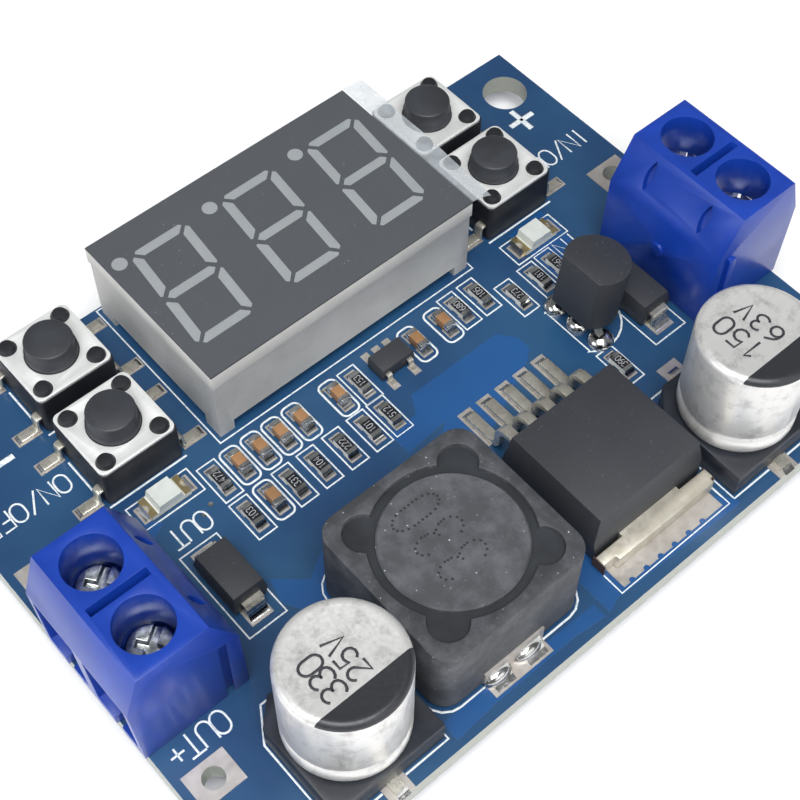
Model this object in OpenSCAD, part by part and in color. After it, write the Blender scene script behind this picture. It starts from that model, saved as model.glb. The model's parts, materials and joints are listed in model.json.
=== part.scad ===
// Step-down (buck) converter module: circuit board with a three-digit numeric display, four push
// buttons, two two-way screw terminals, a power inductor, a five-lead regulator and two
// electrolytic capacitors.
// Origin: centre of the four mounting holes, which is the middle of the board, at its underside.
// +X runs along the long edge from the output terminal to the input terminal, +Y runs across the
// board towards the display, +Z is up.

/* [Board] */
// Board length along X
board_length = 55.7; // [55.6:0.1:62]
// Board width along Y
board_width = 41.1; // [41:0.1:46]
// Board thickness
board_thickness = 1.6; // [1.0:0.1:2.4]
// Diameter of the four mounting holes
mounting_hole_diameter = 3.5; // [2.5:0.1:3.7]
// Mounting hole distance from the short edges
mounting_hole_inset_x = 2.55; // [2.3:0.05:3.0]
// Mounting hole distance from the long edges
mounting_hole_inset_y = 3.4; // [2.6:0.05:3.4]
// Side of the wire pads beside the screw terminals, along X
wire_pad_length = 3.1; // [2.4:0.1:3.2]
// Hole in the wire pads
wire_hole_diameter = 1.5; // [0.8:0.1:1.8]

/* [Display] */
// Display length along X
display_length = 22.5; // [22.2:0.1:23.2]
// Display width along Y
display_width = 14.0; // [13.6:0.1:14.2]
// Display height above the board
display_height = 7.2; // [6.2:0.1:9]
// Height of a digit
digit_height = 9.14; // [7.6:0.02:9.6]
// Width of a digit
digit_width = 4.68; // [4.0:0.02:4.9]
// Width of a lit bar of a digit
bar_width = 0.7; // [0.5:0.05:0.9]
// Distance between digits
digit_pitch = 7.5; // [7.0:0.1:7.5]
// Length of the protective film past the input side of the display
film_overhang = 1.75; // [0.5:0.05:1.8]

/* [Buttons] */
// Side of a button base
button_side = 6.0; // [5.8:0.1:6.2]
// Height of the button base above the board
button_base_height = 3.3; // [3.0:0.1:4.0]
// Height of the plunger top above the board
plunger_height = 5.0; // [4.6:0.1:8]
// Diameter of the plunger collar
plunger_diameter = 3.6; // [3.0:0.1:3.7]
// Push travel of a plunger
plunger_travel = 0.25; // [0.15:0.05:0.3]

/* [Screw terminals] */
// Distance between the two ways
way_pitch = 5.08; // [5.0:0.04:5.08]
// Depth of a terminal from wire side to board side
terminal_depth = 8.0; // [7.9:0.1:8.2]
// Height of a terminal above the board
terminal_height = 10.0; // [9.8:0.1:12]
// Diameter of the screw wells
well_diameter = 3.7; // [3.5:0.1:3.9]
// Diameter of the screw heads
screw_head_diameter = 3.1; // [2.9:0.1:3.1]
// Thread diameter of the terminal screws
screw_diameter = 2.5; // [2.0:0.1:2.6]
// Rise of a wire cage from open to closed
cage_travel = 1.4; // [0.8:0.1:1.4]

/* [Power parts] */
// Side of the shielded inductor
inductor_side = 12.0; // [11.6:0.1:12.2]
// Height of the inductor
inductor_height = 7.0; // [5:0.1:10]
// Diameter of the inductor drum core
core_diameter = 9.35; // [8.6:0.05:9.5]
// Diameter of the capacitor cans
can_diameter = 8.0; // [7.6:0.1:8.1]
// Height of the capacitors
capacitor_height = 10.3; // [7:0.1:14]
// Width of the regulator case
regulator_width = 9.7; // [9.3:0.1:9.9]
// Height of the regulator case
regulator_height = 4.5; // [4.2:0.1:4.8]
// Distance between regulator leads
regulator_pitch = 1.7; // [1.6:0.02:1.74]

/* [Small parts] */
// Length of the small chip parts
chip_length = 1.6; // [1.5:0.05:1.7]
// Width of the small chip parts
chip_width = 0.8; // [0.7:0.05:0.85]
// Height of the chip capacitors
chip_capacitor_height = 0.8; // [0.5:0.05:0.9]
// Height of the chip resistors
chip_resistor_height = 0.47; // [0.4:0.01:0.6]
// Height of the power diodes
diode_height = 2.2; // [1.9:0.1:2.5]

/* [Show] */
// Sub-part to draw, or all

/* [Hidden] */

round_steps = 48;
small_steps = 32;
bend_steps = 5;
cut = 0.02;

// Heights of the board surfaces
top_z = board_thickness;
pad_thickness = 0.06;
pad_z = top_z + pad_thickness;

// Ends and edges that groups of parts are placed from
input_x = board_length;
display_y = board_width - 7.43;
display_x = 27.99;

// Button centres: minus and output at the output side, plus and reading at the input side
minus_at = [11.25, board_width - 3.5];
output_at = [11.15, board_width - 10.8];
plus_at = [input_x - 11.0, board_width - 3.6];
reading_at = [input_x - 10.7, board_width - 10.6];
button_places = [minus_at, output_at, plus_at, reading_at];
button_lead_offset = 2.25;

// Screw terminals: front face positions and centres along Y
output_front_x = -0.43;
output_way_y = 16.78;
input_front_x = input_x + 0.43;
input_way_y = 17.18;

// Power parts
inductor_at = [20.8, 8.15];
output_capacitor_at = [9.95, 5.3];
input_capacitor_at = [input_x - 11.85, 5.35];
capacitor_places = [output_capacitor_at, input_capacitor_at];
regulator_x = 33.98;
regulator_front_y = 3.72;
transistor_at = [input_x - 13.9, 17.85];
output_diode_at = [10.72, 17.6];
input_diode_at = [input_x - 9.6, 16.75];
diode_places = [output_diode_at, input_diode_at];
output_lamp_at = [11.16, 25.3];
input_lamp_at = [input_x - 11.05, 25.48];
lamp_places = [output_lamp_at, input_lamp_at];
amplifier_at = [29.43, 23.87];

// Rows of chip parts
row_far_y = 24.22;
row_near_y = 20.68;
capacitor_row_step = 1.755;
chip_capacitor_places = concat(
  [for (i = [0:3]) [16.5 + capacitor_row_step * i, row_far_y]],
  [[24.9, row_far_y - 0.15], [16.55, row_near_y], [31.95, row_far_y - 0.25],
  [34.45, row_far_y - 0.22]]);
resistor_places = [
  [14.74, row_far_y - 0.1], [26.68, row_far_y - 0.27], [36.15, row_far_y], [38.05, row_far_y],
  [14.72, row_near_y - 0.12], [18.32, row_near_y], [20.45, row_near_y], [22.65, row_near_y],
  [24.8, row_near_y], [26.58, row_near_y], [40.05, 22.4], [42.4, 22.5], [44.2, 22.6],
  [41.45, 13.4]];

// Wire pads beside the terminals
wire_pad_width = 2.5;
wire_pad_inset = 2.14;
wire_pads = [[wire_pad_inset, 8.15], [wire_pad_inset, 25.9],
      [input_x - wire_pad_inset, 8.2], [input_x - wire_pad_inset, 26.2]];

// Display pins: two rows of six
pin_pitch = 2.54;
pin_row_offset = 5.08;
pin_diameter = 0.5;
pin_hole_diameter = 0.8;
pin_stub = 1.3;
display_pin_places = [for (s = [-1, 1]) for (i = [0:5])
  [display_x + (i - 2.5) * pin_pitch, display_y + s * pin_row_offset]];

// Terminal pin places
terminal_pin_depth = 6.3;
terminal_pin_hole = 1.3;
output_pin_places = [for (s = [-1, 1])
  [output_front_x + terminal_pin_depth, output_way_y + s * way_pitch / 2]];
input_pin_places = [for (s = [-1, 1])
  [input_front_x - terminal_pin_depth, input_way_y + s * way_pitch / 2]];
terminal_pin_places = concat(output_pin_places, input_pin_places);

// Transistor lead places
transistor_lead_spread = 2.12;
transistor_lead_places = [for (i = [-1:1])
  [transistor_at[0], transistor_at[1] + i * transistor_lead_spread]];
transistor_hole = 0.75;

// Vias along the edge of the tab pad and a few in the copper areas
tab_via_pitch = 1.3;
tab_via_diameter = 0.46;
tab_via_y = 1.16;
tab_via_places = [for (i = [0:5]) [regulator_x - 0.55 + (i - 2.5) * tab_via_pitch, tab_via_y]];
free_via_diameter = 0.35;
free_via_places = [[13.2, 23.1], [12.4, 22.75], [29.6, 18.4], [31.3, 18.7], [24.3, 25.2],
         [22.7, 3.1], [28.6, 1.4]];

mounting_places = [for (x = [mounting_hole_inset_x, board_length - mounting_hole_inset_x])
  for (y = [mounting_hole_inset_y, board_width - mounting_hole_inset_y]) [x, y]];

// ---- helpers ----

// Places on the board are counted from its corner; this moves them about the origin.
module on_board() {
  translate([-board_length / 2, -board_width / 2, 0])
    children();
}

module rounded_outline(length, width, radius) {
  square([length - 2 * radius, width], center = true);
  square([length, width - 2 * radius], center = true);
  for (x = [-1, 1])
    for (y = [-1, 1])
      translate([x * (length / 2 - radius), y * (width / 2 - radius)])
        circle(r = radius, $fn = small_steps);
}

module rounded_plate(length, width, height, radius) {
  linear_extrude(height = height)
    rounded_outline(length, width, radius);
}

module plate(length, width, height) {
  translate([-length / 2, -width / 2, 0])
    cube([length, width, height]);
}

module spots(places) {
  for (p = places)
    translate([p[0], p[1], 0])
      children();
}

function arc(centre, radius, from, to) =
  [for (i = [0:bend_steps])
    let (a = from + (to - from) * i / bend_steps)
    [centre[0] + radius * cos(a), centre[1] + radius * sin(a)]];

// Side outline of a lead that leaves a case level, bends down and ends in a flat foot.
// Distance from the case runs along the first axis and height above the pad along the second.
module gull_outline(root, exit, height, reach, thickness, radius) {
  half = thickness / 2;
  outer = radius + half;
  inner = radius - half;
  polygon(concat(
    [[root, height + half]],
    arc([exit, height - radius], outer, 90, 0),
    arc([exit + 2 * radius, half + radius], inner, 180, 270),
    [[reach, thickness], [reach, 0]],
    arc([exit + 2 * radius, half + radius], outer, 270, 180),
    arc([exit, height - radius], inner, 0, 90),
    [[root, height - half]]));
}

// Lead of the given width that reaches out along +Y from the origin, foot on the XY plane
module gull_lead(width, root, exit, height, reach, thickness, radius) {
  translate([width / 2, 0, 0])
    rotate([90, 0, -90])
      mirror([1, 0, 0])
        linear_extrude(height = width)
          gull_outline(root, exit, height, reach, thickness, radius);
}

// Hollow solder fillet standing against a face at the origin and reaching out along +Y
module fillet(width, height, reach) {
  translate([width / 2, 0, 0])
    rotate([90, 0, -90])
      mirror([1, 0, 0])
        linear_extrude(height = width)
          polygon(concat([[0, 0], [reach, 0], [reach, 0.03]],
            [for (i = [1:bend_steps - 1])
              let (t = i / bend_steps)
              [reach * (1 - t), 0.03 + (height - 0.03) * t * t]],
            [[0, height]]));
}

// ---- board ----

module board() {
  on_board()
    color([0.10, 0.27, 0.47])
      difference() {
        cube([board_length, board_width, board_thickness]);
        translate([0, 0, -1]) {
          spots(mounting_places)
            cylinder(d = mounting_hole_diameter, h = board_thickness + 2, $fn = round_steps);
          spots(wire_pads)
            cylinder(d = wire_hole_diameter, h = board_thickness + 2, $fn = small_steps);
          spots(terminal_pin_places)
            cylinder(d = terminal_pin_hole, h = board_thickness + 2, $fn = small_steps);
          spots(display_pin_places)
            cylinder(d = pin_hole_diameter, h = board_thickness + 2, $fn = small_steps);
          spots(transistor_lead_places)
            cylinder(d = transistor_hole, h = board_thickness + 2, $fn = small_steps);
          spots(tab_via_places)
            cylinder(d = tab_via_diameter, h = board_thickness + 2, $fn = small_steps);
          spots(free_via_places)
            cylinder(d = free_via_diameter, h = board_thickness + 2, $fn = small_steps);
        }
      }
}

// ---- tinned pads ----

barrel_wall = 0.05;
chip_pad_length = 0.95;
chip_pad_width = 0.9;
chip_pad_offset = chip_length / 2 + 0.45 - chip_pad_length / 2;
button_pad_outer = 5.15;
button_pad_length = 1.9;
button_pad_width = 1.0;
capacitor_pad_outer = 6.05;
capacitor_pad_length = 3.4;
capacitor_pad_width = 1.75;
tab_pad_front = 1.15;
tab_pad_width = 9.15;
tab_pad_depth = 9.6;
lead_pad_width = 1.15;
lead_pad_end = 17.65;
lead_pad_length = 3.2;
inductor_pad_width = 4.8;
inductor_pad_outer = 7.2;
inductor_pad_length = 3.4;
inductor_pad_shift = -0.2;
diode_pad_width = 1.7;
diode_pad_outer = 3.25;
diode_pad_length = 2.1;
lamp_pad_width = 1.4;
lamp_pad_outer = 2.12;
lamp_pad_length = 1.1;
amplifier_span = 2.8;
amplifier_lead_pitch = 0.95;
controller_pitch = 0.65;
controller_span = 6.4;
controller_rows = 10;

module ring_pad(outer, hole) {
  difference() {
    union() {
      translate([0, 0, -pad_thickness])
        cylinder(d = outer, h = pad_thickness, $fn = small_steps);
      translate([0, 0, top_z])
        cylinder(d = outer, h = pad_thickness, $fn = small_steps);
      translate([0, 0, -pad_thickness])
        cylinder(d = hole, h = top_z + 2 * pad_thickness, $fn = small_steps);
    }
    translate([0, 0, -1])
      cylinder(d = hole - 2 * barrel_wall, h = top_z + 2, $fn = small_steps);
  }
}

module wire_pad() {
  for (z = [-pad_thickness, top_z])
    translate([0, 0, z])
      linear_extrude(height = pad_thickness)
        difference() {
          square([wire_pad_length, wire_pad_width], center = true);
          circle(d = wire_hole_diameter, $fn = small_steps);
        }
}

module solder_pads() {
  on_board()
    color([0.80, 0.79, 0.75]) {
      spots(wire_pads)
        wire_pad();
      spots(terminal_pin_places)
        ring_pad(2.4, terminal_pin_hole);
      spots(display_pin_places)
        ring_pad(1.4, pin_hole_diameter);
      spots(transistor_lead_places)
        ring_pad(1.5, transistor_hole);
      translate([0, 0, top_z]) {
        spots(concat(chip_capacitor_places, resistor_places))
          for (s = [-1, 1])
            translate([0, s * chip_pad_offset, 0])
              plate(chip_pad_width, chip_pad_length, pad_thickness);
        spots(button_places)
          for (sx = [-1, 1])
            for (sy = [-1, 1])
              translate([sx * (button_pad_outer - button_pad_length / 2),
                   sy * button_lead_offset, 0])
                plate(button_pad_length, button_pad_width, pad_thickness);
        difference() {
          spots(capacitor_places)
            for (s = [-1, 1])
              translate([0, s * (capacitor_pad_outer - capacitor_pad_length / 2), 0])
                plate(capacitor_pad_width, capacitor_pad_length, pad_thickness);
          translate([-5, -10, -1])
            cube([board_length + 10, 10, 2]);
        }
        difference() {
          translate([regulator_x, tab_pad_front + tab_pad_depth / 2, 0])
            plate(tab_pad_width, tab_pad_depth, pad_thickness);
          translate([0, 0, -1])
            spots(tab_via_places)
              cylinder(d = tab_via_diameter, h = 2, $fn = small_steps);
        }
        for (i = [-2:2])
          translate([regulator_x + i * regulator_pitch, lead_pad_end - lead_pad_length / 2, 0])
            plate(lead_pad_width, lead_pad_length, pad_thickness);
        for (s = [-1, 1])
          translate([inductor_at[0] + inductor_pad_shift,
               inductor_at[1] + s * (inductor_pad_outer - inductor_pad_length / 2), 0])
            plate(inductor_pad_width, inductor_pad_length, pad_thickness);
        spots(diode_places)
          for (s = [-1, 1])
            translate([0, s * (diode_pad_outer - diode_pad_length / 2), 0])
              plate(diode_pad_width, diode_pad_length, pad_thickness);
        spots(lamp_places)
          for (s = [-1, 1])
            translate([s * (lamp_pad_outer - lamp_pad_length / 2), 0, 0])
              plate(lamp_pad_length, lamp_pad_width, pad_thickness);
        translate([amplifier_at[0], amplifier_at[1], 0]) {
          for (i = [-1, 1])
            translate([i * amplifier_lead_pitch, -amplifier_span / 2, 0])
              plate(0.6, 0.9, pad_thickness);
          for (i = [-1:1])
            translate([i * amplifier_lead_pitch, amplifier_span / 2, 0])
              plate(0.6, 0.9, pad_thickness);
        }
        translate([display_x, display_y, 0])
          for (s = [-1, 1])
            for (i = [0:controller_rows - 1])
              translate([(i - (controller_rows - 1) / 2) * controller_pitch,
                   s * (controller_span / 2 - 0.3), 0])
                plate(0.4, 1.2, pad_thickness);
      }
    }
}

// ---- solder joints ----

chip_end_thickness = 0.03;
chip_fillet = 0.32;

module toe(width, height, reach) {
  translate([0, 0, pad_thickness])
    fillet(width, height, reach);
}

module pin_cone(pin_radius, pad_radius, height) {
  rotate_extrude($fn = small_steps)
    polygon(concat([[pin_radius, 0], [pad_radius, 0]],
      [for (i = [1:3])
        let (t = i / 4)
        [pin_radius + 0.04 + (pad_radius - pin_radius - 0.04) * (1 - t) * (1 - t),
        height * t]],
      [[pin_radius + 0.04, height], [pin_radius, height]]));
}

module solder_joints() {
  on_board()
    color([0.83, 0.83, 0.82]) {
      translate([0, 0, top_z]) {
        spots(chip_capacitor_places)
          for (a = [0, 180])
            rotate([0, 0, a])
              translate([0, chip_length / 2, 0])
                toe(chip_width, 0.5 * chip_capacitor_height, chip_fillet);
        spots(resistor_places)
          for (a = [0, 180])
            rotate([0, 0, a])
              translate([0, chip_length / 2, 0])
                toe(chip_width, 0.75 * chip_resistor_height, chip_fillet);
        spots(lamp_places)
          for (a = [90, -90])
            rotate([0, 0, a])
              translate([0, lamp_length / 2, 0])
                toe(1.2, 0.4, 0.36);
        spots(button_places)
          for (a = [90, -90])
            rotate([0, 0, a])
              for (s = [-1, 1])
                translate([s * button_lead_offset, button_lead_reach, 0])
                  toe(button_lead_width, button_lead_stock, 0.22);
        for (i = [-2:2])
          translate([regulator_x + i * regulator_pitch,
               regulator_front_y + regulator_lead_root + regulator_lead_reach, 0])
            toe(regulator_lead_width, regulator_lead_stock, 0.4);
        spots(diode_places)
          for (a = [0, 180])
            rotate([0, 0, a])
              translate([0, diode_span / 2, 0])
                toe(diode_lead_width, 0.75, 0.5);
        spots(capacitor_places)
          for (a = [0, 180])
            rotate([0, 0, a])
              translate([0, capacitor_base_side / 2 + capacitor_lead_toe, 0])
                toe(capacitor_lead_width, capacitor_lead_stock, 0.45);
        translate([inductor_at[0], inductor_at[1], 0])
          for (a = [0, 180])
            rotate([0, 0, a])
              for (s = [-1, 1])
                translate([s * 1.35 + cos(a) * inductor_pad_shift,
                     inductor_side / 2 + inductor_clip_stock, 0])
                  toe(1.5, 0.9, 0.9);
      }
      translate([0, 0, -pad_thickness])
        mirror([0, 0, 1]) {
          spots(display_pin_places)
            pin_cone(pin_diameter / 2, 0.62, 0.7);
          spots(transistor_lead_places)
            pin_cone(transistor_lead_radius, 0.68, 0.6);
          spots(terminal_pin_places)
            pin_cone(terminal_pin_radius, 1.1, 1.1);
        }
    }
}

// ---- numeric display ----

display_skirt = 1.0;
display_foot_length = 1.2;
display_foot_width = 1.6;
display_rim = 1.3;
display_step = 0.1;
display_face_thickness = 0.1;
display_wall = 0.7;
circuit_z = 1.6;
circuit_thickness = 0.8;
digit_lean = 0.1;
digit_gap = 0.2;
dot_diameter = 1.1;
dot_shift_x = -2.76;
dot_shift_y = 4.35;
film_thickness = 0.1;

// One bar of a digit lying along the first axis, centred on the origin, with mitred ends
module digit_bar(half_length, half_bar) {
  polygon([[-half_length, 0], [-half_length + half_bar, half_bar],
      [half_length - half_bar, half_bar], [half_length, 0],
      [half_length - half_bar, -half_bar], [-half_length + half_bar, -half_bar]]);
}

// Outline of the outer bars: full length at the outside edge and mitred at 45 degrees inside
module outer_bar(half_length, bar, corner) {
  polygon([[-half_length, -corner], [-half_length + corner, 0], [half_length - corner, 0],
      [half_length, -corner], [half_length - bar + corner, -bar],
      [-half_length + bar - corner, -bar]]);
}

module upright_digit() {
  half_w = digit_width / 2;
  half_h = digit_height / 2;
  corner = 0.18;
  side_half = (half_h - digit_gap / 2) / 2;
  for (s = [-1, 1]) {
    mirror([0, s < 0 ? 1 : 0])
      translate([0, half_h])
        outer_bar(half_w - 2 * digit_gap, bar_width, corner);
    for (t = [-1, 1])
      mirror([s < 0 ? 1 : 0, 0])
        mirror([0, t < 0 ? 1 : 0])
          polygon([[half_w - bar_width, half_h - bar_width - digit_gap - 0.02],
              [half_w - corner - 0.03, half_h - digit_gap - corner],
              [half_w, half_h - 2 * digit_gap - corner],
              [half_w, digit_gap + 0.15], [half_w - 0.14, digit_gap + 0.05],
              [half_w - bar_width, bar_width / 2 + digit_gap + 0.25]]);
  }
  digit_bar(half_w - 0.39, bar_width / 2);
}

module digits() {
  for (i = [-1:1])
    translate([display_x + i * digit_pitch, display_y]) {
      multmatrix([[1, digit_lean, 0, 0], [0, 1, 0, 0], [0, 0, 1, 0], [0, 0, 0, 1]])
        upright_digit();
      translate([dot_shift_x, dot_shift_y])
        circle(d = dot_diameter, $fn = small_steps);
    }
}

module display_housing() {
  rim_z = display_height - display_face_thickness;
  on_board()
    color([0.60, 0.61, 0.62])
      translate([0, 0, top_z])
        difference() {
          union() {
            translate([display_x, display_y, display_skirt])
              plate(display_length - 2 * display_step, display_width - 2 * display_step,
                 rim_z - display_skirt);
            translate([display_x, display_y, rim_z - display_rim])
              plate(display_length, display_width, display_rim);
            for (sx = [-1, 1])
              for (sy = [-1, 1])
                translate([display_x + sx * (display_length / 2 - display_step
                              - display_foot_length / 2),
                     display_y + sy * (display_width / 2 - display_step
                              - display_foot_width / 2), 0])
                  plate(display_foot_length, display_foot_width,
                     display_skirt + cut);
          }
          translate([display_x, display_y, circuit_z - 1])
            plate(display_length - 2 * display_wall, display_width - 2 * display_wall,
               1 + circuit_thickness);
          translate([0, 0, circuit_z + circuit_thickness - cut])
            linear_extrude(height = display_height)
              digits();
        }
}

module display_face() {
  on_board()
    color([0.22, 0.23, 0.25])
      translate([0, 0, top_z + display_height - display_face_thickness])
        difference() {
          translate([display_x, display_y, 0])
            plate(display_length, display_width, display_face_thickness);
          translate([0, 0, -1])
            linear_extrude(height = 2)
              digits();
        }
}

module display_segments() {
  on_board()
    color([0.80, 0.81, 0.79])
      translate([0, 0, top_z + circuit_z + circuit_thickness])
        linear_extrude(height = display_height - circuit_z - circuit_thickness)
          digits();
}

module display_circuit() {
  on_board()
    color([0.75, 0.74, 0.62])
      translate([0, 0, top_z + circuit_z])
        difference() {
          translate([display_x, display_y, 0])
            plate(display_length - 2 * display_wall, display_width - 2 * display_wall,
               circuit_thickness);
          translate([0, 0, -1])
            spots(display_pin_places)
              cylinder(d = pin_diameter, h = 3, $fn = small_steps);
        }
}

module display_pins() {
  on_board()
    color([0.80, 0.80, 0.78])
      translate([0, 0, -pin_stub])
        spots(display_pin_places)
          cylinder(d = pin_diameter, h = pin_stub + top_z + circuit_z + circuit_thickness,
              $fn = small_steps);
}

// Clear protective film: flat over the face, sagging past the input side
module display_film() {
  film_z = top_z + display_height;
  left = display_x - display_length / 2;
  right = display_x + display_length / 2;
  droop = 0.25;
  on_board()
    color([0.75, 0.82, 0.88, 0.35])
      translate([0, display_y + display_width / 2, 0])
        rotate([90, 0, 0])
          linear_extrude(height = display_width)
            polygon([[left, film_z], [right, film_z], [right + film_overhang, film_z - droop],
                [right + film_overhang, film_z - droop + film_thickness],
                [right, film_z + film_thickness], [left, film_z + film_thickness]]);
}

// ---- display controller under the display ----

controller_length = 6.5;
controller_width = 4.4;
controller_height = 1.1;

module controller_lead_row() {
  for (i = [0:controller_rows - 1])
    translate([(i - (controller_rows - 1) / 2) * controller_pitch,
         controller_width / 2, pad_thickness])
      gull_lead(0.22, -0.3, 0.1, 0.55, (controller_span - controller_width) / 2 + 0.1,
           0.13, 0.15);
}

module controller_body() {
  on_board()
    color([0.12, 0.12, 0.13])
      translate([display_x, display_y, top_z])
        difference() {
          translate([0, 0, pad_thickness])
            plate(controller_length, controller_width, controller_height);
          for (a = [0, 180])
            rotate([0, 0, a])
              controller_lead_row();
        }
}

module controller_leads() {
  on_board()
    color([0.78, 0.78, 0.76])
      translate([display_x, display_y, top_z])
        for (a = [0, 180])
          rotate([0, 0, a])
            controller_lead_row();
}

// ---- push buttons ----

button_cover_side = button_side - 0.1;
button_cover_thickness = 0.2;
button_hole_diameter = plunger_diameter + 0.15;
button_flange_diameter = plunger_diameter + 0.6;
button_cavity_diameter = 4.4;
button_cavity_z = 0.9;
button_post_diameter = 1.35;
button_post_offset_x = 2.12;
button_post_offset_y = 2.15;
button_post_height = 0.32;
button_lead_width = 0.7;
button_lead_stock = 0.2;
button_lead_reach = 4.8;
button_lead_root = -0.6;
button_lead_height = 1.25;
dome_diameter = 4.0;
dome_rise = plunger_travel + 0.2;
dome_stock = 0.08;
plunger_step = 0.12;
plunger_collar_rise = 0.75;
plunger_flange_stock = 0.6;
plunger_stem_diameter = 1.6;
plunger_edge = 0.12;

module button_lead_set() {
  for (a = [90, -90])
    rotate([0, 0, a])
      for (s = [-1, 1])
        translate([s * button_lead_offset, button_side / 2, pad_thickness])
          gull_lead(button_lead_width, button_lead_root, 0.1,
               button_lead_height, button_lead_reach - button_side / 2,
               button_lead_stock, 0.28);
}

module button_bases() {
  on_board()
    color([0.07, 0.07, 0.08])
      translate([0, 0, top_z])
        spots(button_places)
          difference() {
            union() {
              rounded_plate(button_side, button_side, button_base_height, 0.35);
              for (sx = [-1, 1])
                for (sy = [-1, 1])
                  translate([sx * button_post_offset_x, sy * button_post_offset_y, 0]) {
                    cylinder(d = button_post_diameter - 0.2,
                        h = button_base_height + button_cover_thickness,
                        $fn = small_steps);
                    translate([0, 0, button_base_height + button_cover_thickness])
                      cylinder(d1 = button_post_diameter,
                          d2 = button_post_diameter - 0.35,
                          h = button_post_height, $fn = small_steps);
                  }
            }
            translate([0, 0, button_cavity_z])
              cylinder(d = button_cavity_diameter, h = button_base_height,
                  $fn = round_steps);
            button_lead_set();
          }
}

module button_covers() {
  on_board()
    color([0.86, 0.87, 0.88])
      translate([0, 0, top_z + button_base_height])
        spots(button_places)
          difference() {
            rounded_plate(button_cover_side, button_cover_side, button_cover_thickness, 0.5);
            translate([0, 0, -1]) {
              cylinder(d = button_hole_diameter, h = 2, $fn = round_steps);
              for (sx = [-1, 1])
                for (sy = [-1, 1])
                  translate([sx * button_post_offset_x, sy * button_post_offset_y, 0])
                    cylinder(d = button_post_diameter - 0.2, h = 2,
                        $fn = small_steps);
            }
          }
}

module button_leads() {
  on_board()
    color([0.82, 0.82, 0.80])
      translate([0, 0, top_z])
        spots(button_places)
          button_lead_set();
}

module plunger(place) {
  r = plunger_diameter / 2;
  tip_r = r - plunger_step;
  flange_r = button_flange_diameter / 2;
  stem_r = plunger_stem_diameter / 2;
  stem_z = button_cavity_z + dome_rise;
  flange_z = button_base_height;
  collar_z = button_base_height + plunger_collar_rise;
  on_board()
    color([0.05, 0.05, 0.06])
      translate([place[0], place[1], top_z])
        rotate_extrude($fn = round_steps)
          polygon([[0, stem_z], [stem_r, stem_z], [stem_r, flange_z - plunger_flange_stock],
              [flange_r, flange_z - plunger_flange_stock], [flange_r, flange_z],
              [r, flange_z], [r, collar_z], [tip_r, collar_z + 0.06],
              [tip_r, plunger_height - plunger_edge],
              [tip_r - 0.04, plunger_height - 0.04],
              [tip_r - plunger_edge, plunger_height], [0, plunger_height]]);
}

module dome(place) {
  r = dome_diameter / 2;
  steps = 5;
  on_board()
    color([0.80, 0.78, 0.70])
      translate([place[0], place[1], top_z + button_cavity_z])
        rotate_extrude($fn = round_steps)
          polygon(concat(
            [for (i = [0:steps]) let (t = i / steps) [r * t, dome_rise * (1 - t * t)]],
            [[r, 0], [r - dome_stock, 0]],
            [for (i = [steps - 1:-1:0])
              let (t = i / steps)
              [(r - dome_stock) * t, (dome_rise - dome_stock) * (1 - t * t)]]));
}

module minus_plunger() {
  plunger(minus_at);
}

module plus_plunger() {
  plunger(plus_at);
}

module output_plunger() {
  plunger(output_at);
}

module reading_plunger() {
  plunger(reading_at);
}

module minus_dome() {
  dome(minus_at);
}

module plus_dome() {
  dome(plus_at);
}

module output_dome() {
  dome(output_at);
}

module reading_dome() {
  dome(reading_at);
}

// ---- screw terminals ----
// Local frame: depth from the wire side along X, ways along Y, height along Z.

terminal_length = 2 * way_pitch - 0.02;
terminal_slope = 1.08;
terminal_shoulder = 6.8;
terminal_toe = 0.23;
terminal_top_rear = terminal_depth - 1.9;
terminal_rear_shoulder = 6.55;
well_depth_x = 3.48;
entry_width = way_pitch - 0.98;
entry_sill = 1.0;
entry_head = 6.5;
cage_width = 3.6;
cage_length = 3.4;
cage_height = 4.0;
cage_floor = 0.5;
cage_lid = 0.8;
cage_side = 0.5;
cage_z = 0.5;
bar_z = 2.95;
bar_thickness = 0.7;
bar_half_width = 1.1;
leg_depth = 0.75;
terminal_pin_side = 0.8;
terminal_pin_radius = 0.57;
terminal_pin_length = 3.4;
screw_seat_z = cage_z + cage_height + cage_travel + 0.06;
screw_head_height = 1.04;
thread_clearance = 0.05;
lens_width = 0.65;
lens_length = 2.4;
rail_width = 0.8;
rail_depth = 0.35;
rail_x = 6.62;

module at_output_terminal() {
  on_board()
    translate([output_front_x, output_way_y, pad_z])
      children();
}

module at_input_terminal() {
  on_board()
    translate([input_front_x, input_way_y, pad_z])
      rotate([0, 0, 180])
        children();
}

module ways() {
  for (s = [-1, 1])
    translate([0, s * way_pitch / 2, 0])
      children();
}

module terminal_profile() {
  polygon([[terminal_toe, 0], [0, terminal_shoulder], [terminal_slope, terminal_height],
      [terminal_top_rear, terminal_height], [terminal_depth - 0.15, terminal_rear_shoulder],
      [terminal_depth, 0]]);
}

module lens() {
  r = (lens_length * lens_length + lens_width * lens_width) / (4 * lens_width);
  intersection() {
    translate([0, r - lens_width / 2])
      circle(r = r, $fn = 96);
    translate([0, lens_width / 2 - r])
      circle(r = r, $fn = 96);
  }
}

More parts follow.
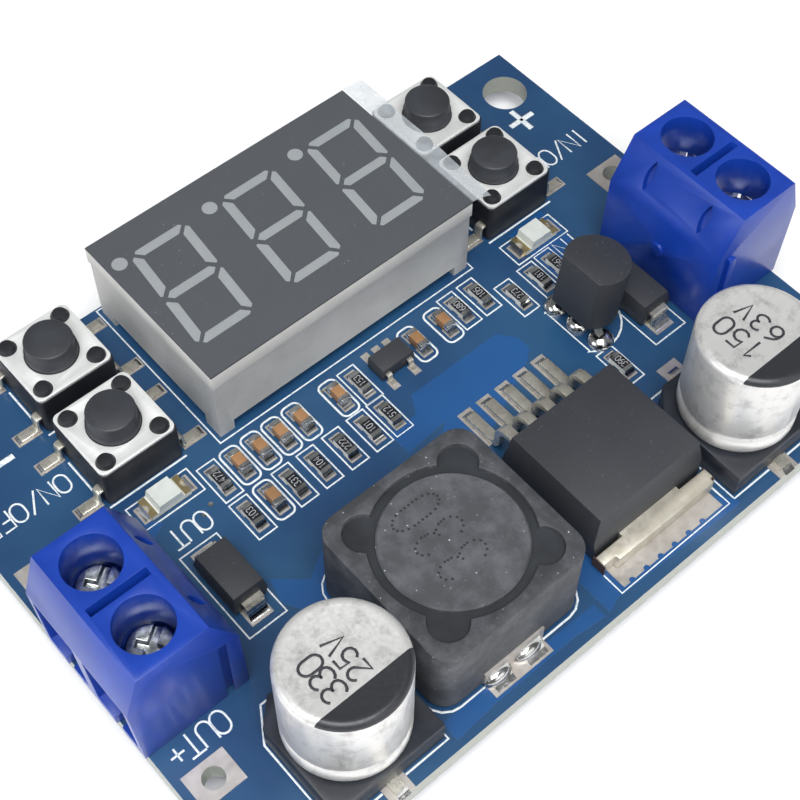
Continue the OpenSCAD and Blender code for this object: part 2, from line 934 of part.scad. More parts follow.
module terminal_housing() {
  slope_run = terminal_depth - 0.15 - terminal_top_rear;
  slope_fall = terminal_height - terminal_rear_shoulder;
  slope_angle = atan2(slope_fall, slope_run);
  color([0.13, 0.30, 0.80])
    difference() {
      union() {
        translate([0, terminal_length / 2, 0])
          rotate([90, 0, 0])
            linear_extrude(height = terminal_length)
              terminal_profile();
        translate([rail_x - rail_width / 2 + 0.08, terminal_length / 2 - cut, 0])
          linear_extrude(height = terminal_shoulder - 0.2)
            polygon([[0.12, 0], [rail_width - 0.28, 0], [rail_width - 0.16, rail_depth],
                [0, rail_depth]]);
        translate([terminal_depth - 0.1, 0, 3.8])
          rotate([0, 90, 0])
            cylinder(d = 1.2, h = 0.2, $fn = small_steps);
      }
      ways() {
        translate([well_depth_x, 0, entry_head - 1])
          cylinder(d = well_diameter, h = terminal_height, $fn = round_steps);
        translate([-1, -entry_width / 2, entry_sill])
          cube([well_depth_x + 3.1, entry_width, entry_head - entry_sill]);
        translate([well_depth_x - cage_length / 2 - 0.1, -entry_width / 2, 0.4])
          cube([cage_length + 0.2, entry_width, 1]);
        translate([well_depth_x + 1.5, -bar_half_width - 0.1, -1])
          cube([terminal_pin_depth + terminal_pin_side / 2 - well_depth_x - 1.5,
             2 * bar_half_width + 0.2, bar_z + bar_thickness + 1]);
        translate([-1, -0.4, -1])
          cube([1.9, 0.8, entry_sill + 2]);
        translate([terminal_top_rear + slope_run * 0.455, 0,
             terminal_height - slope_fall * 0.455])
          rotate([0, slope_angle, 0])
            translate([0, 0, -0.5])
              linear_extrude(height = 2)
                lens();
      }
      translate([1.48, -0.3, terminal_height - 3])
        cube([terminal_top_rear - 1.48 - 0.45, 0.6, 4]);
      translate([rail_x - rail_width / 2, -terminal_length / 2 - cut, -1])
        linear_extrude(height = terminal_shoulder + 0.9)
          polygon([[0.12, 0], [rail_width - 0.12, 0], [rail_width, rail_depth + 0.08],
              [0, rail_depth + 0.08]]);
    }
}

module terminal_contacts() {
  leg_x = terminal_pin_depth + terminal_pin_side / 2 - leg_depth;
  color([0.80, 0.79, 0.74])
    ways() {
      translate([well_depth_x - cage_length / 2 - 0.2, -bar_half_width, bar_z])
        cube([leg_x + leg_depth - well_depth_x + cage_length / 2 + 0.2,
           2 * bar_half_width, bar_thickness]);
      translate([leg_x, -bar_half_width, 0])
        cube([leg_depth, 2 * bar_half_width, bar_z + cut]);
      translate([terminal_pin_depth - terminal_pin_side / 2, -terminal_pin_side / 2,
           -terminal_pin_length])
        cube([leg_depth, terminal_pin_side, terminal_pin_length + cut]);
    }
}

module screw(side) {
  color([0.82, 0.82, 0.80])
    translate([well_depth_x, side * way_pitch / 2, 0])
      difference() {
        union() {
          translate([0, 0, bar_z + bar_thickness])
            cylinder(d = screw_diameter, h = screw_seat_z - bar_z - bar_thickness + cut,
                $fn = round_steps);
          translate([0, 0, screw_seat_z])
            cylinder(d = screw_head_diameter, h = screw_head_height - 0.15,
                $fn = round_steps);
          translate([0, 0, screw_seat_z + screw_head_height - 0.15])
            cylinder(d1 = screw_head_diameter, d2 = screw_head_diameter - 0.3,
                h = 0.15, $fn = round_steps);
        }
        rotate([0, 0, 35])
          translate([0, 0, screw_seat_z + screw_head_height - 0.55]) {
            plate(screw_head_diameter + 1, 0.55, 1);
            plate(0.5, 1.9, 1);
          }
      }
}

module cage(side) {
  color([0.80, 0.78, 0.70])
    translate([well_depth_x, side * way_pitch / 2, cage_z])
      difference() {
        plate(cage_length, cage_width, cage_height);
        translate([0, 0, cage_floor])
          plate(cage_length + 1, cage_width - 2 * cage_side,
             cage_height - cage_floor - cage_lid);
        cylinder(d = screw_diameter + 2 * thread_clearance, h = cage_height + 1,
            $fn = round_steps);
        translate([0, 0, -1])
          cylinder(d = screw_diameter + 2 * thread_clearance, h = 0.5, $fn = round_steps);
      }
}

module output_terminal_housing() {
  at_output_terminal()
    terminal_housing();
}

module output_terminal_contacts() {
  at_output_terminal()
    terminal_contacts();
}

module output_minus_screw() {
  at_output_terminal()
    screw(1);
}

module output_plus_screw() {
  at_output_terminal()
    screw(-1);
}

module output_minus_cage() {
  at_output_terminal()
    cage(1);
}

module output_plus_cage() {
  at_output_terminal()
    cage(-1);
}

module input_terminal_housing() {
  at_input_terminal()
    terminal_housing();
}

module input_terminal_contacts() {
  at_input_terminal()
    terminal_contacts();
}

module input_minus_screw() {
  at_input_terminal()
    screw(-1);
}

module input_plus_screw() {
  at_input_terminal()
    screw(1);
}

module input_minus_cage() {
  at_input_terminal()
    cage(-1);
}

module input_plus_cage() {
  at_input_terminal()
    cage(1);
}

// ---- power inductor ----

inductor_bore = core_diameter + 1.15;
inductor_stand = 0.3;
inductor_clip_stock = 0.15;
inductor_clip_width = 4.9;
inductor_clip_height = 1.5;
inductor_groove_z = inductor_height - 0.35;
core_flange = 1.3;
core_post = 4.6;
notch_radius = 1.3;
notch_reach = inductor_bore / 2 + 0.15;

module inductor_bore_outline() {
  circle(d = inductor_bore, $fn = round_steps);
  for (a = [45:90:315])
    rotate(a)
      translate([notch_reach, 0])
        circle(r = notch_radius, $fn = small_steps);
}

module inductor_shield() {
  on_board()
    color([0.33, 0.34, 0.35])
      translate([inductor_at[0], inductor_at[1], top_z + inductor_stand])
        linear_extrude(height = inductor_height - inductor_stand)
          difference() {
            rounded_outline(inductor_side, inductor_side, 1.5);
            inductor_bore_outline();
          }
}

module inductor_core() {
  r = core_diameter / 2;
  low = inductor_stand + 0.3;
  on_board()
    color([0.35, 0.36, 0.37])
      translate([inductor_at[0], inductor_at[1], top_z])
        rotate_extrude($fn = round_steps)
          polygon([[0, low], [r, low], [r, low + core_flange],
              [core_post / 2, low + core_flange],
              [core_post / 2, inductor_height - core_flange],
              [r, inductor_height - core_flange], [r, inductor_height - 0.12],
              [r - 0.12, inductor_height], [0, inductor_height]]);
}

module inductor_winding() {
  low = inductor_stand + 0.3 + core_flange;
  on_board()
    color([0.65, 0.33, 0.16])
      translate([inductor_at[0], inductor_at[1], top_z + low])
        difference() {
          cylinder(d = core_diameter - 0.6, h = inductor_height - core_flange - low,
              $fn = round_steps);
          translate([0, 0, -1])
            cylinder(d = core_post, h = inductor_height + 2, $fn = round_steps);
        }
}

module inductor_resin() {
  low = inductor_height - core_flange - 0.2;
  on_board()
    color([0.14, 0.14, 0.15])
      translate([inductor_at[0], inductor_at[1], top_z + low])
        linear_extrude(height = inductor_groove_z - low)
          difference() {
            inductor_bore_outline();
            circle(d = core_diameter, $fn = round_steps);
          }
}

module inductor_terminals() {
  inward = 3.2;
  on_board()
    color([0.80, 0.79, 0.76])
      translate([inductor_at[0], inductor_at[1], top_z + pad_thickness])
        for (a = [0, 180])
          rotate([0, 0, a])
            translate([cos(a) * inductor_pad_shift - inductor_clip_width / 2, 0, 0]) {
              translate([0, inductor_side / 2 - inward, 0])
                cube([inductor_clip_width, inward + inductor_clip_stock,
                   inductor_stand - pad_thickness]);
              translate([0, inductor_side / 2, 0])
                cube([inductor_clip_width, inductor_clip_stock, inductor_clip_height]);
            }
}

// ---- electrolytic capacitors ----

capacitor_base_side = can_diameter + 0.3;
capacitor_base_height = 2.1;
capacitor_lead_width = 0.85;
capacitor_lead_stock = 0.3;
capacitor_lead_toe = 0.85;
capacitor_lead_root = 1.2;
can_z = 1.2;

module capacitor_cans() {
  r = can_diameter / 2;
  h = capacitor_height;
  on_board()
    color([0.80, 0.80, 0.80])
      translate([0, 0, top_z])
        spots(capacitor_places)
          rotate_extrude($fn = round_steps)
            polygon(concat(
              [[0, can_z], [r - 0.75, can_z], [r - 0.45, can_z + 0.25],
              [r - 0.12, capacitor_base_height + 0.1],
              [r, capacitor_base_height + 0.35], [r, can_z + 1.95],
              [r - 0.14, can_z + 2.2], [r - 0.3, can_z + 2.4],
              [r - 0.14, can_z + 2.6], [r, can_z + 2.85]],
              arc([r - 0.55, h - 0.55], 0.55, 0, 78),
              [[r - 0.62, h - 0.04], [0, h - 0.04]]));
}

module capacitor_bases() {
  side = capacitor_base_side;
  chamfer = 1.5;
  r = can_diameter / 2;
  on_board()
    color([0.09, 0.09, 0.10])
      translate([0, 0, top_z])
        spots(capacitor_places)
          difference() {
            translate([0, 0, pad_thickness])
              linear_extrude(height = capacitor_base_height - pad_thickness)
                polygon([[-side / 2, -side / 2], [side / 2, -side / 2],
                    [side / 2, side / 2 - chamfer], [side / 2 - chamfer, side / 2],
                    [-side / 2 + chamfer, side / 2],
                    [-side / 2, side / 2 - chamfer]]);
            translate([0, 0, can_z])
              rotate_extrude($fn = round_steps)
                polygon([[0, 0], [r - 0.75, 0], [r - 0.45, 0.25],
                    [r - 0.12, capacitor_base_height + 0.1 - can_z],
                    [r - 0.12, 3], [0, 3]]);
            for (s = [-1, 1]) {
              translate([-capacitor_lead_width / 2,
                   s > 0 ? capacitor_lead_root : -side / 2 - 1, 0])
                cube([capacitor_lead_width, side / 2 + 1 - capacitor_lead_root,
                   pad_thickness + capacitor_lead_stock]);
              translate([-capacitor_lead_width / 2,
                   s > 0 ? capacitor_lead_root : -capacitor_lead_root - capacitor_lead_stock,
                   0])
                cube([capacitor_lead_width, capacitor_lead_stock, can_z + cut]);
            }
          }
}

module capacitor_leads() {
  reach = capacitor_base_side / 2 + capacitor_lead_toe;
  on_board()
    color([0.82, 0.82, 0.80])
      translate([0, 0, top_z])
        spots(capacitor_places)
          for (a = [0, 180])
            rotate([0, 0, a])
              translate([-capacitor_lead_width / 2, capacitor_lead_root, pad_thickness]) {
                cube([capacitor_lead_width, reach - capacitor_lead_root, capacitor_lead_stock]);
                cube([capacitor_lead_width, capacitor_lead_stock,
                   can_z - pad_thickness]);
              }
}

// ---- five-lead regulator ----

regulator_part_z = 2.3;
regulator_depth = 8.6;
regulator_draft = 0.5;
regulator_lead_root = regulator_depth;
regulator_lead_width = 0.8;
regulator_lead_stock = 0.5;
regulator_lead_reach = 4.65;
regulator_tab_stock = 1.25;
regulator_tab_width = regulator_width + 0.35;
regulator_tab_front = 1.36;

module regulator_envelope() {
  half = regulator_width / 2 + 0.1;
  top_half = half - regulator_draft;
  low = pad_thickness + 0.04;
  intersection() {
    translate([0, regulator_depth + 2, 0])
      rotate([90, 0, 0])
        linear_extrude(height = regulator_depth + 4)
          polygon([[-half + 0.2, low], [half - 0.2, low], [half, regulator_part_z],
              [top_half, regulator_height], [-top_half, regulator_height],
              [-half, regulator_part_z]]);
    translate([half + 1, 0, 0])
      rotate([90, 0, -90])
        linear_extrude(height = 2 * half + 2)
          polygon([[0, low], [0, regulator_tab_stock], [-0.35, regulator_height],
              [-regulator_depth + 0.2, regulator_height],
              [-regulator_depth, regulator_part_z],
              [-regulator_depth + 0.2, low]]);
  }
}

module regulator_tab_shape() {
  half = regulator_tab_width / 2;
  step = 1.05;
  translate([0, 0, pad_thickness])
    difference() {
      linear_extrude(height = regulator_tab_stock)
        polygon([[-half, 0.35 - regulator_tab_front], [-half + step, 0.35 - regulator_tab_front],
            [-half + step, -regulator_tab_front], [half - 0.25, -regulator_tab_front],
            [half - 0.25, 0.35 - regulator_tab_front], [half, 0.35 - regulator_tab_front],
            [half, -0.25], [half - 2.4, -0.25], [half - 2.4, 0.6],
            [half - 1.2, 0.6], [half - 1.2, 6.9], [-half + 1.2, 6.9],
            [-half + 1.2, 0.6], [-half + 2.4, 0.6], [-half + 2.4, -0.25],
            [-half, -0.25]]);
    }
}

module regulator_lead_set() {
  for (i = [-2:2])
    translate([i * regulator_pitch, regulator_lead_root, pad_thickness])
      gull_lead(regulator_lead_width, -1, 0.95, regulator_part_z + 0.15,
           regulator_lead_reach, regulator_lead_stock, 0.75);
}

module regulator_case() {
  on_board()
    color([0.23, 0.24, 0.26])
      translate([regulator_x, regulator_front_y, top_z])
        difference() {
          regulator_envelope();
          regulator_tab_shape();
          regulator_lead_set();
        }
}

module regulator_tab() {
  on_board()
    color([0.76, 0.74, 0.68])
      translate([regulator_x, regulator_front_y, top_z])
        regulator_tab_shape();
}

module regulator_leads() {
  on_board()
    color([0.82, 0.81, 0.78])
      translate([regulator_x, regulator_front_y, top_z])
        regulator_lead_set();
}

// ---- leaded transistor ----

transistor_case_z = 2.0;
transistor_case_height = 4.6;
transistor_lead_side = 0.42;
transistor_lead_radius = 0.3;
transistor_lean = 7;
transistor_pitch = 1.27;

module transistor_outline() {
  intersection() {
    translate([0.35, 0])
      circle(d = 4.7, $fn = round_steps);
    translate([-1.3, -3])
      square([6, 6]);
  }
}

module transistor_leaning() {
  translate([transistor_at[0], transistor_at[1], top_z + transistor_case_z])
    rotate([0, transistor_lean, 0])
      children();
}

module transistor_case() {
  on_board()
    color([0.10, 0.10, 0.11])
      difference() {
        transistor_leaning()
          linear_extrude(height = transistor_case_height)
            transistor_outline();
        transistor_leads_shape();
      }
}

// Three leads spread from the case pitch to the hole pitch
module transistor_leads_shape() {
  t = transistor_lead_side;
  low = -1.3;
  z1 = top_z + 0.35;
  z2 = top_z + transistor_case_z + 0.55;
  for (i = [-1:1])
    translate([transistor_at[0] - t / 2, transistor_at[1], 0])
      rotate([90, 0, 90])
        linear_extrude(height = t)
          polygon([[i * transistor_lead_spread - t / 2, low],
              [i * transistor_lead_spread + t / 2, low],
              [i * transistor_lead_spread + t / 2, z1],
              [i * transistor_pitch + t / 2, z2 - 0.35],
              [i * transistor_pitch + t / 2, z2],
              [i * transistor_pitch - t / 2, z2],
              [i * transistor_pitch - t / 2, z2 - 0.35],
              [i * transistor_lead_spread - t / 2, z1]]);
}

module transistor_leads() {
  on_board()
    color([0.80, 0.80, 0.78])
      transistor_leads_shape();
}

// ---- power diodes ----

diode_case_length = 4.3;
diode_case_width = 2.65;
diode_span = 5.1;
diode_lead_width = 1.45;
diode_lead_stock = 0.2;
diode_lead_z = 1.1;

module diode_lead_pair() {
  t = diode_lead_stock;
  for (a = [0, 180])
    rotate([0, 0, a])
      translate([diode_lead_width / 2, 0, pad_thickness])
        rotate([90, 0, -90])
          mirror([1, 0, 0])
            linear_extrude(height = diode_lead_width)
              polygon([[diode_case_length / 2 - 0.8, diode_lead_z + t],
                  [diode_span / 2 - 0.12, diode_lead_z + t],
                  [diode_span / 2, diode_lead_z + t - 0.12],
                  [diode_span / 2, 0.12], [diode_span / 2 - 0.12, 0],
                  [diode_span / 2 - 1.3, 0], [diode_span / 2 - 1.3, t],
                  [diode_span / 2 - t, t], [diode_span / 2 - t, diode_lead_z],
                  [diode_case_length / 2 - 0.8, diode_lead_z]]);
}

module diode_cases() {
  half_l = diode_case_length / 2;
  half_w = diode_case_width / 2;
  low = pad_thickness + 0.12;
  on_board()
    color([0.12, 0.12, 0.13])
      translate([0, 0, top_z])
        spots(diode_places)
          difference() {
            intersection() {
              translate([-half_w - 1, 0, 0])
                rotate([90, 0, 90])
                  linear_extrude(height = 2 * half_w + 2)
                    polygon([[-half_l + 0.15, low], [half_l - 0.15, low],
                        [half_l, diode_lead_z + pad_thickness],
                        [half_l - 0.2, diode_height],
                        [-half_l + 0.2, diode_height],
                        [-half_l, diode_lead_z + pad_thickness]]);
              translate([0, half_l + 1, 0])
                rotate([90, 0, 0])
                  linear_extrude(height = 2 * half_l + 2)
                    polygon([[-half_w + 0.12, low], [half_w - 0.12, low],
                        [half_w, diode_lead_z + pad_thickness],
                        [half_w - 0.18, diode_height],
                        [-half_w + 0.18, diode_height],
                        [-half_w, diode_lead_z + pad_thickness]]);
            }
            diode_lead_pair();
          }
}

module diode_leads() {
  on_board()
    color([0.82, 0.82, 0.80])
      translate([0, 0, top_z])
        spots(diode_places)
          diode_lead_pair();
}

// ---- small amplifier in a five-lead case ----

amplifier_length = 2.9;
amplifier_width = 1.6;
amplifier_height = 1.15;

module amplifier_lead_set() {
  reach = (amplifier_span - amplifier_width) / 2 + 0.1;
  for (i = [-1:1])
    translate([i * amplifier_lead_pitch, amplifier_width / 2, pad_thickness])
      gull_lead(0.4, -0.3, 0.1, 0.6, reach, 0.13, 0.14);
  for (i = [-1, 1])
    translate([i * amplifier_lead_pitch, -amplifier_width / 2, pad_thickness])
      rotate([0, 0, 180])
        gull_lead(0.4, -0.3, 0.1, 0.6, reach, 0.13, 0.14);
}

module amplifier_case() {
  on_board()
    color([0.13, 0.13, 0.14])
      translate([amplifier_at[0], amplifier_at[1], top_z])
        difference() {
          translate([0, amplifier_width / 2, pad_thickness + 0.04])
            rotate([90, 0, 0])
              linear_extrude(height = amplifier_width)
                polygon([[-amplifier_length / 2 + 0.05, 0],
                    [amplifier_length / 2 - 0.05, 0],
                    [amplifier_length / 2, 0.6],
                    [amplifier_length / 2 - 0.1, amplifier_height - 0.04],
                    [-amplifier_length / 2 + 0.1, amplifier_height - 0.04],
                    [-amplifier_length / 2, 0.6]]);
          amplifier_lead_set();
        }
}

module amplifier_leads() {
  on_board()
    color([0.80, 0.80, 0.78])
      translate([amplifier_at[0], amplifier_at[1], top_z])
        amplifier_lead_set();
}

// ---- chip resistors and capacitors, all lying along Y ----

resistor_end_length = 0.3;
resistor_coating_thickness = 0.05;
chip_capacitor_end_length = 0.36;

module resistor_cores() {
  on_board()
    color([0.88, 0.88, 0.85])
      translate([0, 0, pad_z + chip_end_thickness])
        spots(resistor_places)
          plate(chip_width, chip_length - 2 * chip_end_thickness,
             chip_resistor_height - chip_end_thickness - resistor_coating_thickness);
}

module resistor_coatings() {
  on_board()
    color([0.06, 0.06, 0.07])
      translate([0, 0, pad_z + chip_resistor_height - resistor_coating_thickness])
        spots(resistor_places)
          plate(chip_width, chip_length - 2 * resistor_end_length,
             resistor_coating_thickness);
}

module resistor_ends() {
  core_top = chip_resistor_height - resistor_coating_thickness;
  on_board()
    color([0.80, 0.80, 0.79])
      translate([0, 0, pad_z])
        spots(resistor_places)
          for (a = [0, 180])
            rotate([0, 0, a])
              translate([chip_width / 2, 0, 0])
                rotate([90, 0, -90])
                  mirror([1, 0, 0])
                    linear_extrude(height = chip_width)
                      polygon([[chip_length / 2 - resistor_end_length, 0],
                          [chip_length / 2, 0],
                          [chip_length / 2, core_top + 0.03],
                          [chip_length / 2 - resistor_end_length,
                           core_top + 0.03],
                          [chip_length / 2 - resistor_end_length, core_top],
                          [chip_length / 2 - chip_end_thickness, core_top],
                          [chip_length / 2 - chip_end_thickness,
                           chip_end_thickness],
                          [chip_length / 2 - resistor_end_length,
                           chip_end_thickness]]);
}

module chip_capacitor_bodies() {
  on_board()
    color([0.62, 0.45, 0.28])
      translate([0, 0, pad_z + chip_end_thickness])
        spots(chip_capacitor_places)
          plate(chip_width - 2 * chip_end_thickness, chip_length - 2 * chip_end_thickness,
             chip_capacitor_height - 2 * chip_end_thickness);
}

module chip_capacitor_ends() {
  on_board()
    color([0.80, 0.80, 0.79])
      translate([0, 0, pad_z])
        spots(chip_capacitor_places)
          difference() {
            for (s = [-1, 1])
              translate([0, s * (chip_length - chip_capacitor_end_length) / 2, 0])
                plate(chip_width, chip_capacitor_end_length, chip_capacitor_height);
            translate([0, 0, chip_end_thickness])
              plate(chip_width - 2 * chip_end_thickness,
                 chip_length - 2 * chip_end_thickness,
                 chip_capacitor_height - 2 * chip_end_thickness);
          }
}

// ---- indicator lamps, lying along X ----

lamp_length = 3.2;
lamp_width = 1.6;
lamp_base_height = 0.45;
lamp_lens_length = 2.0;
lamp_lens_height = 0.6;
lamp_end_length = 0.5;

module lamp_bases() {
  on_board()
    color([0.86, 0.87, 0.84])
      translate([0, 0, pad_z + chip_end_thickness])
        spots(lamp_places)
          difference() {
            plate(lamp_length - 2 * chip_end_thickness, lamp_width,
               lamp_base_height - 2 * chip_end_thickness);
            for (s = [-1, 1])
              translate([s * lamp_length / 2, 0, -1])
                cylinder(r = 0.35, h = 3, $fn = small_steps);
          }
}

module lamp_lenses() {
  half = lamp_lens_length / 2;
  on_board()
    color([0.88, 0.90, 0.86])
      translate([0, 0, pad_z + lamp_base_height - chip_end_thickness])
        spots(lamp_places)
          translate([0, lamp_width / 2, 0])
            rotate([90, 0, 0])
              linear_extrude(height = lamp_width)
                polygon([[-half, 0], [half, 0], [half - 0.15, lamp_lens_height],
                    [-half + 0.15, lamp_lens_height]]);
}

module lamp_ends() {
  on_board()
    color([0.84, 0.80, 0.66])
      translate([0, 0, pad_z])
        spots(lamp_places)
          difference() {
            for (s = [-1, 1])
              translate([s * (lamp_length - lamp_end_length) / 2, 0, 0])
                plate(lamp_end_length, lamp_width, lamp_base_height);
            translate([0, 0, chip_end_thickness])
              plate(lamp_length - 2 * chip_end_thickness, lamp_width + 1,
                 lamp_base_height - 2 * chip_end_thickness);
            for (s = [-1, 1])
              translate([s * lamp_length / 2, 0, -1])
                cylinder(r = 0.32, h = 3, $fn = small_steps);
          }
}

board();
solder_pads();
solder_joints();
display_housing();
display_face();
display_segments();
display_circuit();
display_pins();
display_film();
controller_body();
controller_leads();
button_bases();
button_covers();
button_leads();
minus_plunger();
plus_plunger();
output_plunger();
reading_plunger();
minus_dome();
plus_dome();
output_dome();
reading_dome();
output_terminal_housing();
output_terminal_contacts();
output_minus_screw();
output_plus_screw();
output_minus_cage();
output_plus_cage();
input_terminal_housing();
input_terminal_contacts();
input_minus_screw();
input_plus_screw();
input_minus_cage();
input_plus_cage();
inductor_shield();
inductor_core();
inductor_winding();
inductor_resin();
inductor_terminals();
capacitor_cans();
capacitor_bases();
capacitor_leads();
regulator_case();
regulator_tab();
regulator_leads();
transistor_case();
transistor_leads();
diode_cases();
diode_leads();
amplifier_case();
amplifier_leads();
resistor_cores();
resistor_coatings();
resistor_ends();
chip_capacitor_bodies();
chip_capacitor_ends();
lamp_bases();
lamp_lenses();
lamp_ends();
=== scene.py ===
import bpy
import bmesh
import json
import math
from mathutils import Matrix, Vector


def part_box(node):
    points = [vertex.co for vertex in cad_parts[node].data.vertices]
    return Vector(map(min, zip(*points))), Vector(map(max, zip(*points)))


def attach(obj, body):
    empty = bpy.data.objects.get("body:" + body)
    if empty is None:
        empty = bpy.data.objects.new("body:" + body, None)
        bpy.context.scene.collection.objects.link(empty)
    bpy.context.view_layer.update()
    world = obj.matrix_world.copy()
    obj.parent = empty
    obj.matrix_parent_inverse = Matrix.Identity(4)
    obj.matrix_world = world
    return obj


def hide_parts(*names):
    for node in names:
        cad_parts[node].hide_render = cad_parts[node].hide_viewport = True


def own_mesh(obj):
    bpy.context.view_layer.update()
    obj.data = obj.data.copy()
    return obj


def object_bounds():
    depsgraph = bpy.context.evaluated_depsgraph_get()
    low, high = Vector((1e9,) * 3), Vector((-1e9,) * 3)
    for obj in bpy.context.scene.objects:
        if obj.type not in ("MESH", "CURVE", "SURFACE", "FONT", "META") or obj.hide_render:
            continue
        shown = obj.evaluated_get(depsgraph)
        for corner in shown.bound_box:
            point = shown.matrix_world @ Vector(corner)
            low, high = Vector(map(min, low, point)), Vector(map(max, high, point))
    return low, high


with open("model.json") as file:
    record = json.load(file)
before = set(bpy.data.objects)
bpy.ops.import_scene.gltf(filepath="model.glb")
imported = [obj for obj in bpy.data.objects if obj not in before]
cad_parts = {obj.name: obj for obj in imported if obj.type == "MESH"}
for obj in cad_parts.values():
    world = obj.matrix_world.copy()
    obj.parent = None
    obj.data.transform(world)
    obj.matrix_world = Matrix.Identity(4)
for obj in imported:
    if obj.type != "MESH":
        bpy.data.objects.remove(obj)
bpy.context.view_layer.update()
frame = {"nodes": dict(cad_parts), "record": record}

MM = 0.001
WELD = 0.002 * MM  # vertices closer than this are one
scene = bpy.context.scene
scene.view_settings.view_transform = "Standard"
BODY_OF = {name: body for body, names in frame["record"]["behaviour"]["bodies"].items()
           for name in names}


# ---------- places taken from the solids, in millimetres ----------

def span(node):
    low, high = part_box(node)
    return [c / MM for c in low], [c / MM for c in high]


def middle(node):
    low, high = span(node)
    return [(a + b) / 2 for a, b in zip(low, high)]


board_low, board_high = span("board")
TOP = board_high[2]
DISPLAY_END = span("display_housing")[1][0]
LAMP_TOP = span("lamp_bases")[1][2]
CAN_TOP = span("capacitor_cans")[1][2]


def on_board(x, y):
    """Millimetres counted from the board's corner to millimetres in the frame."""
    return x + board_low[0], y + board_low[1]


# ---------- camera, light and room ----------

def linear(value):
    """sRGB hex text to linear red, green and blue with full alpha."""
    parts = [int(value[i:i + 2], 16) / 255 for i in (1, 3, 5)]
    return [p / 12.92 if p <= 0.04045 else ((p + 0.055) / 1.055) ** 2.4 for p in parts] + [1.0]


camera_data = bpy.data.cameras.new("camera")
camera = bpy.data.objects.new("camera", camera_data)
scene.collection.objects.link(camera)
camera.location = (-39.017 * MM, -43.681 * MM, 91.225 * MM)
camera.rotation_euler = (math.radians(33.662), math.radians(-0.337), math.radians(-40.896))
camera_data.lens = 70.62
camera_data.sensor_width = 36
camera_data.shift_x = 0.0004
camera_data.shift_y = -0.0087
camera_data.clip_start = 0.001
camera_data.clip_end = 10
scene.camera = camera


def put(material, kind, inputs=None, **settings):
    """Adds a node to a material with its settings, values and links."""
    node = material.node_tree.nodes.new(kind)
    for key, value in settings.items():
        setattr(node, key, value)
    for key, value in (inputs or {}).items():
        if isinstance(value, bpy.types.NodeSocket):
            material.node_tree.links.new(value, node.inputs[key])
        else:
            node.inputs[key].default_value = value
    return node


def soft_box(name, place, aim, size, watts, tint="#ffffff"):
    """A soft studio lamp; place, aim and size are in metres."""
    data = bpy.data.lights.new(name, "AREA")
    data.shape = "RECTANGLE"
    data.size, data.size_y = size
    data.energy = watts
    data.color = linear(tint)[:3]
    lamp = bpy.data.objects.new(name, data)
    lamp.location = place
    lamp.rotation_euler = (Vector(aim) - Vector(place)).to_track_quat("-Z", "Y").to_euler()
    scene.collection.objects.link(lamp)


centre = (0.0, 0.0, 0.004)
soft_box("overhead_softbox", (-0.10, -0.13, 0.36), centre, (0.30, 0.30), 1.92)
soft_box("window_softbox", (-0.34, 0.06, 0.17), centre, (0.24, 0.20), 0.38, "#f4f8ff")
soft_box("front_fill", (0.04, -0.34, 0.15), centre, (0.30, 0.20), 0.24)

world = bpy.data.worlds.new("room")
scene.world = world
world.use_nodes = True
world_tree = world.node_tree
room = world_tree.nodes["Background"]
room.inputs["Color"].default_value = linear("#f2f4f6")
room.inputs["Strength"].default_value = 0.26
rays = world_tree.nodes.new("ShaderNodeLightPath")
white = world_tree.nodes.new("ShaderNodeBackground")
white.inputs["Color"].default_value = (1, 1, 1, 1)
white.inputs["Strength"].default_value = 1.0
blend = world_tree.nodes.new("ShaderNodeMixShader")
world_tree.links.new(rays.outputs["Is Camera Ray"], blend.inputs[0])
world_tree.links.new(room.outputs[0], blend.inputs[1])
world_tree.links.new(white.outputs[0], blend.inputs[2])
world_tree.links.new(blend.outputs[0], world_tree.nodes["World Output"].inputs["Surface"])


# ---------- finishes ----------

def finish(name, colour, rough, metallic=0.0, **sockets):
    """A Principled finish; further sockets are set on the shader itself."""
    material = bpy.data.materials.new(name)
    material.use_nodes = True
    shader = material.node_tree.nodes["Principled BSDF"]
    shader.inputs["Base Color"].default_value = linear(colour)
    shader.inputs["Roughness"].default_value = rough
    shader.inputs["Metallic"].default_value = metallic
    for key, value in sockets.items():
        shader.inputs[key.replace("_", " ")].default_value = value
    return material


def shader_of(material):
    return material.node_tree.nodes["Principled BSDF"]


def place_of(material):
    return put(material, "ShaderNodeTexCoord").outputs["Object"]


def noise(material, size_mm, detail=3.0, rough=0.5, stretch=None, distortion=0.0):
    """Noise whose patches are about size_mm across; stretch lengthens it along an axis."""
    place = place_of(material)
    if stretch:
        place = put(material, "ShaderNodeMapping", {"Vector": place, "Scale": stretch}).outputs[0]
    return put(material, "ShaderNodeTexNoise",
               {"Vector": place, "Scale": 1 / (size_mm * MM), "Detail": detail,
                "Roughness": rough, "Distortion": distortion}).outputs["Fac"]


def ramp(material, fac, low, high, from_value=0.0, to_value=1.0):
    return put(material, "ShaderNodeMapRange",
               {"Value": fac, "From Min": low, "From Max": high, "To Min": from_value,
                "To Max": to_value}).outputs[0]


def mixed(material, fac, colour_a, colour_b):
    """Colour between two hex colours or sockets by a factor."""
    ends = [linear(c) if isinstance(c, str) else c for c in (colour_a, colour_b)]
    node = material.node_tree.nodes.new("ShaderNodeMix")
    node.data_type = "RGBA"
    for socket, value in ((node.inputs["Factor"], fac), (node.inputs[6], ends[0]),
                          (node.inputs[7], ends[1])):
        if isinstance(value, bpy.types.NodeSocket):
            material.node_tree.links.new(value, socket)
        else:
            socket.default_value = value
    return node.outputs[2]


def join(material, output, socket):
    material.node_tree.links.new(output, shader_of(material).inputs[socket])


